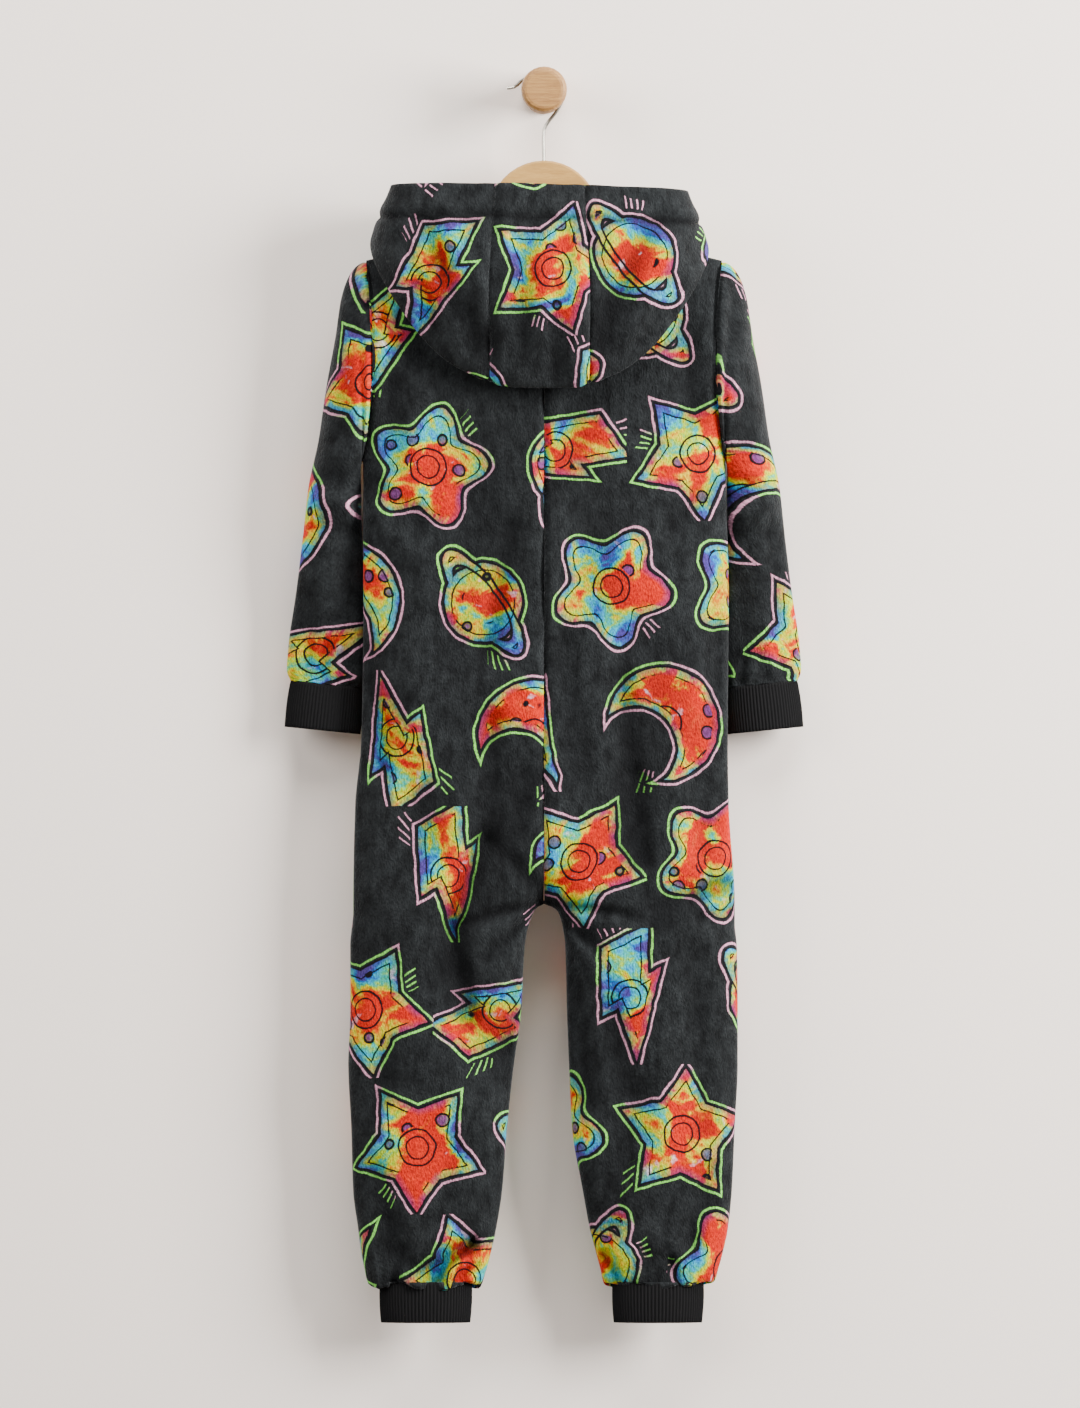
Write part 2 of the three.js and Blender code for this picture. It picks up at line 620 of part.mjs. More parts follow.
// The oval of a cuff: middle, half width along a direction, half depth along Y, and the cuff's axis
function addCuff(name, cuff, middle, across, halfWidth, halfDepth, axis) {
  const at = (angle, share, push) => {
    const grown = cuff.flare * share;
    const width = halfWidth * cuff.squeeze + grown + push;
    const depth = halfDepth * cuff.squeeze + grown + push;
    return middle.clone()
      .addScaledVector(across, width * Math.cos(angle))
      .addScaledVector(point(0, 1, 0), depth * Math.sin(angle))
      .addScaledVector(axis, SEAM_GAP + cuff.length * share);
  };
  addPiece(name, cuffGeometry(cuff, at), ribMaterial);
}

function addWristCuff(name, side) {
  const hem = SLEEVE_STATIONS[SLEEVE_STATIONS.length - 1];
  const outer = point(side * hem.outX, hem.y, hem.outZ);
  const inner = point(side * hem.inX, hem.y, hem.inZ);
  const across = outer.clone().sub(inner);
  const halfWidth = across.length() / 2;
  across.normalize();
  const axis = across.clone().cross(point(0, 1, 0)).multiplyScalar(side);
  if (axis.z > 0) {
    axis.negate();
  }
  addCuff(name, WRIST_CUFF, outer.clone().lerp(inner, 0.5), across, halfWidth, hem.depth, axis);
}

function addAnkleCuff(name, side) {
  const hem = OUTLINE[OUTLINE.length - 1];
  const outer = side < 0 ? hem.left : hem.right;
  const inner = side < 0 ? hem.leftIn : hem.rightIn;
  const middle = point((side * (outer + inner)) / 2, BODY_Y, hem.z);
  addCuff(name, ANKLE_CUFF, middle, point(1, 0, 0), (outer - inner) / 2, hem.depth, point(0, 0, -1));
}

addWristCuff('cuff_wrist_left', -1);
addWristCuff('cuff_wrist_right', 1);
addAnkleCuff('cuff_ankle_left', -1);
addAnkleCuff('cuff_ankle_right', 1);

// The half neckline as a line of points from the centre back, over the neck point, to the centre front
function necklinePoints(side) {
  const sideName = side < 0 ? 'left' : 'right';
  const back = panelGrids[`back_${sideName}`][0].slice(0, NECK_COLUMN);
  const front = panelGrids[`front_${sideName}`][0].slice(0, NECK_COLUMN).reverse();
  const neckPoint = point(side * SHOULDER_TIP.x * columnShare(NECK_COLUMN), BODY_Y, NECK_POINT_Z);
  return [...back, neckPoint, ...front];
}

// The place on the neckline at a share of its length, in steps between its points
function onNeckline(side, share) {
  const line = necklinePoints(side);
  const place = share * (line.length - 1);
  const start = Math.min(Math.floor(place), line.length - 2);
  return line[start].clone().lerp(line[start + 1], place - start);
}

// The hood's half width is the same on both sides before it is shifted and tilted
function hoodPoint(side, [x, y, z], weight) {
  const px = side * x + HOOD_SHIFT * weight;
  return point(px, y, z + HOOD_TILT * px * weight);
}

// One section of the hood: up from the neckline, over a small roll, down on the back to the pouch's
// fold, and up again to the rim
function hoodSection(side, station) {
  const weight = Math.min(1, (1 - station.neck) * 3);
  const neck = onNeckline(side, station.neck);
  neck.z += NECK_SEAM_GAP;
  const outward = withinPlane(neckInward(neck).negate(), 'z');
  const over = neck.clone().addScaledVector(outward, station.lean);
  over.z += station.rise;
  const lift = neck.clone().addScaledVector(outward, 0.1 * station.lean);
  lift.z += 0.65 * station.rise;
  const [a, fold, out, rim] = [station.a, station.fold, station.out, station.rim]
    .map((place) => hoodPoint(side, place, weight));
  const curve = new THREE.CatmullRomCurve3([neck, lift, over, a, fold, out, rim], false, 'centripetal');
  const line = [neck, lift, over];
  const start = 2 / 6;
  for (let k = 1; k <= HOOD_SAMPLES; k += 1) {
    line.push(curve.getPoint(lerp(start, 1, k / HOOD_SAMPLES)));
  }
  return line;
}

// The hood's whole surface, section by section from its left front edge round to its right one
const hoodOuter = [
  ...HOOD_STATIONS.map((station) => hoodSection(-1, station)).reverse(),
  ...HOOD_STATIONS.slice(1).map((station) => hoodSection(1, station)),
];
const hoodInner = inwardVectors(hoodOuter, false, 1).map((row, i) => row.map((vector, k) => {
  const p = hoodOuter[i][k];
  const inward = k === 0 ? neckInward(p) : vector;
  return p.clone().addScaledVector(inward, FLEECE);
}));

// One hood piece between two sections. Where it is cut from the next piece it keeps half a gap.
function addHoodPiece(name, first, last) {
  const cutAt = (rows, i) => {
    const beside = i === first ? 1 : -1;
    const isEnd = i === 0 || i === hoodOuter.length - 1;
    if (isEnd || (i !== first && i !== last)) {
      return rows[i];
    }
    return rows[i].map((p, k) => {
      const across = hoodOuter[i + beside][k].clone().sub(hoodOuter[i - beside][k]).setLength(HALF_GAP);
      return p.clone().add(across);
    });
  };
  const indices = Array.from({ length: last - first + 1 }, (unused, k) => first + k);
  const outer = indices.map((i) => cutAt(hoodOuter, i));
  const inner = indices.map((i) => cutAt(hoodInner, i));
  addPiece(name, wallBetween(outer, inner, false), fleeceMaterial);
}

const hoodMiddle = HOOD_STATIONS.length - 1;
addHoodPiece('hood_left', 0, hoodMiddle - HOOD_STRIP_STATION);
addHoodPiece('hood_centre', hoodMiddle - HOOD_STRIP_STATION, hoodMiddle + HOOD_STRIP_STATION);
addHoodPiece('hood_right', hoodMiddle + HOOD_STRIP_STATION, 2 * hoodMiddle);

// The zip: a strip between the front panels, made from their centre edges
function addZip() {
  const rows = panelGrids.front_right.filter((row) => row[0].z >= ZIP_END_Z);
  const half = ZIP_HALF_WIDTH - HALF_GAP;
  const grid = rows.map((row) => [point(-half, row[0].y, row[0].z), point(half, row[0].y, row[0].z)]);
  const edge = () => point(0, -ZIP_THICKNESS, 0);
  addPiece('zip', clothWall(grid, ZIP_THICKNESS, false, 1, edge), zipMaterial);
}

addZip();

// Turn a geometry into a solid for joining and cutting, and back
function toSolid(geometry) {
  const bare = geometry.clone();
  bare.deleteAttribute('normal');
  bare.deleteAttribute('uv');
  const merged = mergeVertices(bare, 1e-4);
  return new wasm.Manifold(new wasm.Mesh({
    numProp: 3,
    vertProperties: new Float32Array(merged.attributes.position.array),
    triVerts: new Uint32Array(merged.index.array),
  }));
}

function toGeometry(solid) {
  const mesh = solid.getMesh();
  const geometry = new THREE.BufferGeometry();
  geometry.setAttribute('position', new THREE.Float32BufferAttribute(mesh.vertProperties, 3));
  geometry.setIndex(Array.from(mesh.triVerts));
  geometry.computeVertexNormals();
  return geometry;
}

function boxAt(width, depth, height, centre) {
  return new THREE.BoxGeometry(width, depth, height).translate(centre.x, centre.y, centre.z);
}

function rodAlongX(radius, length, centre) {
  return new THREE.CylinderGeometry(radius, radius, length, 12)
    .rotateZ(Math.PI / 2)
    .translate(centre.x, centre.y, centre.z);
}

// The front's surface at a height, on the zip
function zipFaceY(z) {
  const rows = panelGrids.front_right.map((row) => ({ z: row[0].z, y: row[0].y }));
  return tableAt(rows, 'y', z);
}

// Slider: a plate on the zip with two ears and the pin between them
const pinCentre = point(0, 0, SLIDER.z);

function addSliderAndPull() {
  const top = SLIDER.z + SLIDER.height / 2;
  const bottom = SLIDER.z - SLIDER.height / 2;
  const nearest = Math.max(zipFaceY(top), zipFaceY(SLIDER.z), zipFaceY(bottom));
  const backY = nearest + SEAM_GAP;
  const pinY = backY + SLIDER.plate + PULL.eye + SEAM_GAP;
  pinCentre.y = pinY;
  const plate = boxAt(SLIDER.width, SLIDER.plate, SLIDER.height, point(0, backY + SLIDER.plate / 2, SLIDER.z));
  let slider = toSolid(plate);
  const earDepth = pinY + SLIDER.pin + PIN_COVER - backY;
  for (const side of [-1, 1]) {
    const earX = side * (SLIDER.earGap / 2 + SLIDER.ear / 2);
    const earCentre = point(earX, backY + earDepth / 2, SLIDER.z);
    slider = slider.add(toSolid(boxAt(SLIDER.ear, earDepth, SLIDER.earLength, earCentre)));
  }
  slider = slider.add(toSolid(rodAlongX(SLIDER.pin, SLIDER.earGap + SLIDER.ear, pinCentre)));
  addPiece('zip_slider', toGeometry(slider), metalMaterial);

  const eyeWidth = SLIDER.earGap - 1;
  let pull = toSolid(rodAlongX(PULL.eye, eyeWidth, pinCentre));
  const neckMiddle = point(0, pinY, SLIDER.z - PULL.neck / 2);
  pull = pull.add(toSolid(boxAt(eyeWidth, PULL.thickness, PULL.neck, neckMiddle)));
  const tabLength = PULL.length - PULL.neck;
  const tabMiddle = point(0, pinY, SLIDER.z - PULL.neck - tabLength / 2 + 0.5);
  pull = pull.add(toSolid(boxAt(PULL.width, PULL.thickness, tabLength, tabMiddle)));
  pull = pull.subtract(toSolid(rodAlongX(PULL.hole, eyeWidth + 2, pinCentre)));
  addPiece('zip_pull', toGeometry(pull), metalMaterial);
}

addSliderAndPull();

// The hanger: an arched hump and two arms that follow the shoulder line inside the cloth
function hangerShape() {
  const armZ = (x) => {
    const neckX = SHOULDER_TIP.x * columnShare(NECK_COLUMN);
    const share = (x - neckX) / (SHOULDER_TIP.x - neckX);
    return lerp(NECK_POINT_Z, SHOULDER_TIP.z, share) - HANGER.below;
  };
  const centreZ = HANGER.humpTop - HANGER.humpRadius;
  const humpEnd = radians(HANGER.humpSweep);
  const tip = { x: HANGER.tipX, top: armZ(HANGER.tipX), radius: HANGER.tipRadius };
  const right = [];
  const humpSteps = 6;
  for (let k = 0; k <= humpSteps; k += 1) {
    const angle = (humpEnd * k) / humpSteps;
    right.push([HANGER.humpRadius * Math.sin(angle), centreZ + HANGER.humpRadius * Math.cos(angle)]);
  }
  const neckCurve = new THREE.SplineCurve(HANGER_NECK.map(([x, z]) => new THREE.Vector2(x, z)));
  neckCurve.getPoints(8).slice(1).forEach((p) => right.push([p.x, p.y]));
  right.push([tip.x, tip.top]);
  const tipSteps = 4;
  for (let k = 1; k < tipSteps; k += 1) {
    const angle = radians(90 - (180 * k) / tipSteps);
    right.push([tip.x + tip.radius * Math.cos(angle), tip.top - tip.radius + tip.radius * Math.sin(angle)]);
  }
  right.push([tip.x - 4, tip.top - 2 * tip.radius]);
  const rootZ = armZ(HANGER.armX);
  right.push([HANGER.armX, rootZ - HANGER.armHeight]);
  right.push([HANGER.rootX, rootZ - HANGER.rootHeight]);
  right.push([0, rootZ - HANGER.middleHeight]);
  const left = right.slice(1, -1).reverse().map(([x, z]) => [-x, z]);
  return new THREE.Shape([...right, ...left].map(([x, z]) => new THREE.Vector2(x, z)));
}

function addHanger() {
  const body = new THREE.ExtrudeGeometry(hangerShape(), {
    depth: HANGER.thickness - 2 * HANGER.bevel,
    bevelEnabled: true,
    bevelThickness: HANGER.bevel,
    bevelSize: HANGER.bevel,
    bevelOffset: -HANGER.bevel,
    bevelSegments: 2,
    steps: 1,
  });
  body.rotateX(Math.PI / 2).translate(0, HANGER.y + HANGER.thickness / 2 - HANGER.bevel, 0);
  const holeLength = HOOK.stemDepth + 10;
  const hole = new THREE.CylinderGeometry(HOOK.hole, HOOK.hole, holeLength, 12)
    .rotateX(Math.PI / 2)
    .translate(0, HANGER.y, HANGER.humpTop - HOOK.stemDepth + holeLength / 2);
  addPiece('hanger', toGeometry(toSolid(body).subtract(toSolid(hole))), woodMaterial);
}

addHanger();

// The hook: a stem up from the hanger, then a bend round the peg's waist to a tip that curls out
function addHook() {
  const bend = PEG.waist + SEAM_GAP + HOOK.wire;
  const y = HANGER.y;
  const stemBottom = HANGER.humpTop - HOOK.stemDepth + 1;
  const onBend = (degrees) => point(bend * Math.cos(radians(degrees)), y, bend * Math.sin(radians(degrees)));
  const arc = [];
  for (let degrees = -22; degrees <= 138; degrees += 16) {
    arc.push(onBend(degrees));
  }
  const points = [
    point(0, y, stemBottom),
    point(0, y, HANGER.humpTop),
    point(0.3, y, HOOK.stemTop),
    point(4.5, y, -31),
    point(12, y, -21.5),
    ...arc,
    point(-23, y, 9.5),
    point(-29, y, 4),
    point(-37, y, 2.5),
  ];
  const route = new THREE.CatmullRomCurve3(points, false, 'centripetal');
  const section = new THREE.Shape();
  section.absarc(0, 0, HOOK.wire, 0, 2 * Math.PI, false);
  const geometry = new THREE.ExtrudeGeometry(section, {
    steps: 44,
    curveSegments: HOOK.sides / 2,
    extrudePath: route,
    bevelEnabled: false,
  });
  addPiece('hanger_hook', geometry, metalMaterial);
}

addHook();

// The peg: turned wood, a waist for the hook and a round knob, its flat back on the wall
function addPeg() {
  const { waist, knob, length, foot, knobLength, rim } = PEG;
  const knobStart = length - knobLength;
  const profile = [
    [0, 0],
    [waist + foot, 0],
    [waist + foot, foot + 1.5],
    [waist + foot / 2, 9],
    [waist, 14],
    [waist, knobStart],
    [waist + 1.2, knobStart + 4],
    [knob - 1, knobStart + 7],
    [knob, knobStart + 9],
    [knob, length - rim],
    [knob - 1, length - rim / 2],
    [knob - rim / 2, length - 0.5],
    [knob - rim, length],
    [0, length],
  ].map(([radius, along]) => new THREE.Vector2(radius, along));
  const geometry = new THREE.LatheGeometry(profile, 28).rotateX(Math.PI);
  addPiece('wall_peg', geometry, woodMaterial);
}

addPeg();

export default onesie;
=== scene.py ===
"""Looks of a child's hooded plush onesie on a hanger and a wall peg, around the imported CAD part.

The cloth is worked out in millimetres and put into the scene in metres, in the part's own frame: +Z up,
the wall at Y = 0 and the garment's back towards -Y. Its cut repeats the part's, on a finer grid.
"""
import math
from functools import partialmethod

import bpy
import numpy as np
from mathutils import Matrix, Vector


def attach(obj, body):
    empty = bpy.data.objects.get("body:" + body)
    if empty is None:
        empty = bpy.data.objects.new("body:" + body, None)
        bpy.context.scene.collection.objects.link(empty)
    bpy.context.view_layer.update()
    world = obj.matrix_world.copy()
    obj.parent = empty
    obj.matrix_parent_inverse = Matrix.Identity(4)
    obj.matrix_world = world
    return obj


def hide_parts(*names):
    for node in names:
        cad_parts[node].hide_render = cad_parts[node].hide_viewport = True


MM = 0.001

# Cloth. The seams are drawn up closer here than in the solids, so that no light shows through them.
FLEECE = 2.5
RIB_KNIT = 2.2
SEAM_GAP = 0.06
HALF_GAP = SEAM_GAP / 2
BODY_Y = -46
BODY_DEPTH = 34
BODY_ROUNDNESS = 2.4
UNDERARM_FULLNESS = 0.9
UNDERARM_REACH = 60
# Lines of stitches: depth and width of the groove, then height, place and width of the roll beside it
SEAM = (2.1, 3.2, 1.2, 10, 5.5)
HEM_STITCHING = (2.6, 3, 1.2, 10, 7)

# Shoulder, neck and armhole
SHOULDER_TIP = (178, -170)
NECK_SHARE = 0.19
NECK_POINT_Z = -143
BACK_NECK_Z = -152
FRONT_NECK_Z = -186
NECK_HALF_DEPTH = 32
RIDGE_DROP = 34
UNDERARM = (181, -370)
ARMHOLE_WAIST_X = 171
ARMHOLE_HALF_DEPTH = 30
ARMHOLE_HALF_HEIGHT = (SHOULDER_TIP[1] - UNDERARM[1]) / 2
ARMHOLE_STEPS = 10

# Crotch, hem and zip
CROTCH_Z = -814
CROTCH_RISE = 110
HEM_Z = -1192
ZIP_HALF_WIDTH = 5.5
ZIP_END_Z = -636
ZIP_THICKNESS = 2
TAPE_COLUMNS = 9
TOOTH_SIZE = (3.4, 0.9, 1.7)
TOOTH_PITCH = 2.6
TOOTH_OFFSET = 0.8
TOOTH_STAND = 0.35
TOOTH_START = 5
TOOTH_FREE_END = 8

# Gathers above the ankle cuffs, and how the fleece sags over the cuffs
GATHERS = 5
GATHER_DEPTH = 2
GATHER_TOP_Z = -1140
FINE_GATHERS = 13
FINE_GATHER_DEPTH = 0.7
SAG_PLACE = 5
SAG_WIDTH = 6.5
SAG_TOP = 30

# A panel's grid: columns to the neck point and on to its edge, and rows from the shoulder to the hem.
# The first rows below the crotch are given as distances from it.
NECK_COLUMNS = 15
SHOULDER_COLUMNS = 50
ARMHOLE_ROWS = 64
TORSO_START = 3
TORSO_ROWS = 72
RISE_ROWS = 45
BELOW_CROTCH = (1.5, 3, 5.5, 8, 11.5, 15.5, 20)
LEG_START = 24
LEG_ROWS = 70
GATHER_START = 2.5
GATHER_ROWS = 26
# Row in which a panel has left the shoulder's ridge, and column from which the print is measured
RIDGE_ROW = 18
PRINT_COLUMN = 38

# Where folds and seams fade, and the share of a seam's groove that legs and side seams keep
SEAM_FOLD_FADE = 14
CENTRE_SEAM_FADE = 60
SOFT_SEAM = 0.4
TOP_SEAM_ROWS = 10
SINK_FADE = 6

# Rows: height, outer edge left and right, inner edge left and right, half depth
OUTLINE_COLUMNS = ("z", "left", "right", "left_in", "right_in", "depth")
OUTLINE = [
    (-370, 181, 181, 0, 0, 34),
    (-510, 181, 185, 0, 0, 34),
    (-650, 183, 184, 0, 0, 34),
    (-715, 189, 185, 0, 0, 34),
    (-814, 191, 191, 0, 0, 33),
    (-817, 191, 191, 6, 8, 33),
    (-822, 191, 191, 10, 14, 33),
    (-834, 192, 191, 15, 18, 32),
    (-854, 194, 193, 19, 21, 31),
    (-923, 194, 194, 23, 23, 29),
    (-974, 196, 194, 30, 25, 28),
    (-1038, 193, 191, 37, 28, 27),
    (-1102, 191, 188, 42, 39, 26),
    (-1140, 186, 184, 48, 46, 25),
    (-1163, 183, 179, 53, 52, 25),
    (-1177, 180, 175, 57, 56, 24),
    (-1186, 176, 170, 63, 60, 22),
    (-1192, 166, 161, 71, 67, 17.5),
]

# Folds of the body by face: start x and z, end x and z, width, height. Troughs are below 0.
LARGE_FOLDS = {
    "back": [
        (-95, -880, -28, -990, 24, -5), (-150, -930, -70, -1040, 26, 3), (40, -330, 60, -520, 26, -3.5),
        (-60, -350, -80, -560, 26, -3.5), (110, -560, 95, -760, 28, -4), (-20, -690, -50, -810, 22, -4),
        (185, -800, 110, -822, 20, -4), (90, -1010, 70, -1130, 22, -4),
        (-120, -1175, -75, -1152, 14, -5),
    ],
    "front": [
        (-90, -300, -75, -520, 28, -4), (85, -320, 100, -560, 28, -4), (-70, -700, -40, -810, 22, -4),
        (95, -840, 60, -1000, 24, -4), (-110, -900, -95, -1100, 24, -4),
    ],
}
SMALL_FOLD_STRENGTH = 1.5
SMALL_FOLDS = {
    "back": [
        (-50, -630, -60, -750, 13, -4), (-60, -750, -92, -838, 12, -5), (-92, -838, -78, -925, 11, -5),
        (-34, -440, -54, -560, 13, -4.2), (78, -590, 86, -680, 12, -4), (86, -690, 96, -770, 13, -4),
        (190, -790, 150, -806, 8, -3.5), (186, -822, 156, -828, 7, -2.5), (140, -240, 150, -330, 14, -3),
        (-152, -300, -146, -380, 14, -3), (60, -1166, 76, -1190, 6, -3.5),
        (128, -1170, 134, -1190, 5, -3.5), (-72, -1152, -114, -1190, 5, -5),
        (-84, -1170, -126, -1192, 6, 2.5), (-20, -870, -36, -960, 10, -2.5),
        (30, -900, 40, -1010, 12, -2.5), (166, -1080, 150, -1150, 12, -3),
        (-168, -1080, -150, -1160, 12, -3), (176, -540, 168, -640, 12, -3),
        (-176, -560, -160, -680, 12, -3), (-4, -818, -58, -868, 7, -3.6), (-6, -812, -74, -832, 6, -3.2),
        (-16, -836, -44, -886, 6, 1.8), (4, -818, 52, -858, 7, -3.4), (8, -812, 84, -826, 6, -3.4),
        (26, -842, 58, -900, 7, 1.8), (-6, -800, -40, -762, 8, -2), (7, -800, 36, -758, 8, -2),
        (-112, -1180, -70, -1158, 6, -3), (-128, -1166, -92, -1143, 8, 2.4),
        (-96, -1188, -66, -1176, 5, -2.4), (-150, -1186, -138, -1160, 6, -2),
        (100, -1160, 104, -1188, 5, -2.8), (112, -1166, 114, -1190, 5, -2.8),
        (124, -1158, 124, -1188, 5, -2), (92, -1172, 88, -1190, 5, -2), (148, -1150, 140, -1186, 7, -2),
        (-170, -398, -120, -432, 12, -2.4), (-168, -424, -132, -470, 10, 1.6),
        (172, -396, 128, -440, 12, -2.4), (168, -430, 140, -470, 10, 1.6),
        (-150, -620, -110, -760, 16, -2.4), (20, -560, 34, -690, 15, -2), (150, -640, 168, -790, 14, -2),
        (-118, -470, -130, -590, 16, 1.6), (-150, -860, -166, -1010, 14, -2.4),
        (60, -900, 84, -1000, 14, -2.4), (150, -860, 160, -1040, 14, -2.2),
        (120, -940, 124, -1080, 13, 1.8), (-90, -1060, -104, -1136, 12, -2),
    ],
    "front": [
        (4, -818, 60, -860, 8, -2.6), (-4, -818, -56, -872, 8, -2.6), (-10, -806, -60, -776, 9, -2),
        (9, -806, 66, -784, 9, -2), (30, -640, 50, -740, 14, -2.2), (-26, -646, -52, -700, 13, -2.2),
        (150, -420, 120, -520, 14, -2.2), (-160, -400, -122, -470, 13, -2.4),
        (-150, -600, -140, -760, 15, -2), (140, -900, 150, -1090, 14, -2.4),
        (90, -1160, 96, -1188, 6, -2.4), (118, -1150, 112, -1188, 6, -2.4),
        (-100, -1158, -90, -1188, 6, -2.4), (-132, -1150, -140, -1186, 7, -2.2),
    ],
}
# Depth of trough at which the painted shade in the pile's creases is darkest
FULL_CREASE_SHADE_DEPTH = 7.0

# Sleeve rings: outer end x and z, inner end x and z, half depth, y of the middle, bow to the body
SLEEVE_STATIONS = np.array([
    (178, -170, 181, -370, 30, -46, -8.5),
    (188, -176, 183, -375, 33, -46, -9),
    (196, -187, 183.6, -380.5, 29.5, -45.5, -8),
    (203, -208, 183.4, -386, 31.5, -45, -5.5),
    (209, -247, 183.2, -392, 32, -43, -2),
    (218, -296, 183, -399, 30.5, -40.5, 0),
    (226, -350, 183, -407, 29, -38, 0),
    (236, -397, 183, -420, 27, -36, 0),
    (242, -450, 182, -452, 23.5, -32, 0),
    (249, -505, 179, -505, 20, -28, 0),
    (256, -552, 177, -556, 17.5, -25, 0),
    (258, -580, 176.5, -586, 16.5, -23.5, 0),
    (255, -590, 180, -597.5, 14.5, -23, 0),
])
# Rows of a sleeve between its stations: first, last, number
SLEEVE_ROWS = [(0, 3, 24), (3, 11, 84), (11, 12, 12)]
SLEEVE_POINTS = 120
SLEEVE_GATHERS = 7
SLEEVE_GATHER_DEPTH = 0.8
SLEEVE_FOLD_STRENGTH = 1.4
SLEEVE_FOLDS = {
    "back": [
        (186, -404, 236, -380, 12, -3), (186, -424, 228, -412, 9, 2), (184, -446, 226, -440, 9, -2.4),
        (196, -470, 204, -560, 12, -2.2), (232, -440, 238, -540, 11, -1.8),
        (198, -240, 206, -350, 13, -2.2), (222, -586, 216, -560, 6, -2), (240, -584, 236, -562, 5, -1.6),
        (198, -588, 200, -570, 5, -1.6),
    ],
    "front": [
        (188, -400, 226, -390, 12, -3), (184, -440, 220, -450, 10, -2.4), (210, -470, 214, -560, 12, -2),
        (202, -586, 206, -562, 6, -1.8), (230, -584, 228, -560, 6, -1.8),
    ],
}

# Cuffs: length, number of ribs, widening towards the open end
WRIST_CUFF = (47, 70, 1.5)
ANKLE_CUFF = (41, 78, -1.5)
CUFF_SQUEEZE = 0.965
CUFF_BULGE = 0.8
CUFF_ROWS = 15
RIB_HEIGHT = 0.9
POINTS_PER_RIB = 6

# Hood. Stations from the centre back to the centre front: share of the half neckline, rise, lean, the
# layer on the back, the pouch's fold, the outer layer and the rim
HOOD_SHIFT = -4.5
HOOD_TILT = -0.02
HOOD_STRIP_STATION = 2
NECK_SEAM_GAP = 0.4
HOOD_STATIONS = [
    (0, 6, 2.5, (0, -91, -225), (0, -97, -300), (0, -128, -222), (0, -113, -96)),
    (0.125, 6, 2.5, (26, -91, -224), (27, -97, -299), (27, -127, -221), (25, -112.5, -96)),
    (0.25, 6, 3, (47, -90.5, -221), (49.5, -96.5, -294), (51, -125, -217), (45, -111.5, -96)),
    (0.315, 7, 8, (66, -90.5, -212), (84, -96, -280), (82, -121, -206), (75, -109, -96.5)),
    (0.375, 8, 11, (82, -90, -200), (114, -95, -255), (112, -115, -190), (104, -105, -97)),
    (0.42, 8, 12, (98, -89.5, -187), (143, -92, -216), (140, -106, -172), (130, -97, -97.5)),
    (0.46, 7, 12, (112, -80, -168), (162, -82, -182), (160, -90, -154), (146, -84, -98.5)),
    (0.5, 6, 12, (118, -56, -147), (168, -60, -159), (166, -64, -143), (148, -62, -100)),
    (0.56, 12, 9, (116, -36, -145), (160, -38, -155), (158, -40, -140), (140, -42, -104)),
    (0.625, 18, 7, (98, -18, -148), (132, -18, -158), (132, -20, -142), (118, -26, -112)),
    (0.75, 20, 5, (66, -10, -158), (86, -8.5, -163), (88, -10.5, -150), (82, -16, -126)),
    (0.875, 10, 2, (38, -8.5, -170), (48, -8, -168), (50, -8.5, -158), (46, -11.5, -142)),
    (1, 6, 1, (8, -8.8, -178), (10, -8.2, -174), (11, -8.2, -168), (11, -9, -158)),
]
HOOD_SAMPLES = 13
CAD_COLUMN_SHARES = [0, 0.06, 0.12, 0.16, 0.19]
HOOD_HEM = 33
# Rows and columns of the hood's finer grid to each coarse one
HOOD_FINER = 6
# Where the hem's stitching and the seams start above the neckline, and how strongly painted shade darkens
# the stitching's groove
NECK_SINK_START = 20
NECK_SINK_FADE = 30
HEM_GROOVE_SHADE = 5
# The hood's folds lie on its outer layer, which is this far in front of the wall
HOOD_FOLD_START = 95
HOOD_FOLD_FADE = 12
HOOD_FOLD_STRENGTH = 1.5
HOOD_FOLDS = [
    (-14, -120, -22, -270, 13, -3), (22, -150, 12, -290, 12, -2.4), (-46, -130, -52, -280, 5, -1.2),
    (-120, -140, -64, -256, 16, -4.5), (-96, -120, -84, -200, 12, 2), (112, -128, 58, -250, 17, -5.5),
    (136, -156, 92, -240, 15, 4), (60, -170, 54, -280, 9, -1.6), (-140, -150, -110, -240, 9, -2),
    (124, -190, 96, -254, 7, -1.8), (0, -230, -30, -290, 8, 1.6),
]

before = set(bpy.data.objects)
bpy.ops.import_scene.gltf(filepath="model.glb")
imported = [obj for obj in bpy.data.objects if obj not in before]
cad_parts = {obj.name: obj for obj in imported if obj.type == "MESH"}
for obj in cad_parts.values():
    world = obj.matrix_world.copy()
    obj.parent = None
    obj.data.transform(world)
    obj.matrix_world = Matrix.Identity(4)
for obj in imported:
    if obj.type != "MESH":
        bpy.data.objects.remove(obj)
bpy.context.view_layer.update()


# Small helpers

def lerp(a, b, t):
    return a + (b - a) * t


def bell(distance, width):
    """1 at a distance of 0, falling softly to 0 on both sides."""
    return np.exp(-((distance / width) ** 2))


def signed_power(value, power):
    return np.sign(value) * np.abs(value) ** power


def unit(vectors):
    length = np.linalg.norm(vectors, axis=-1, keepdims=True)
    return vectors / np.maximum(length, 1e-9)


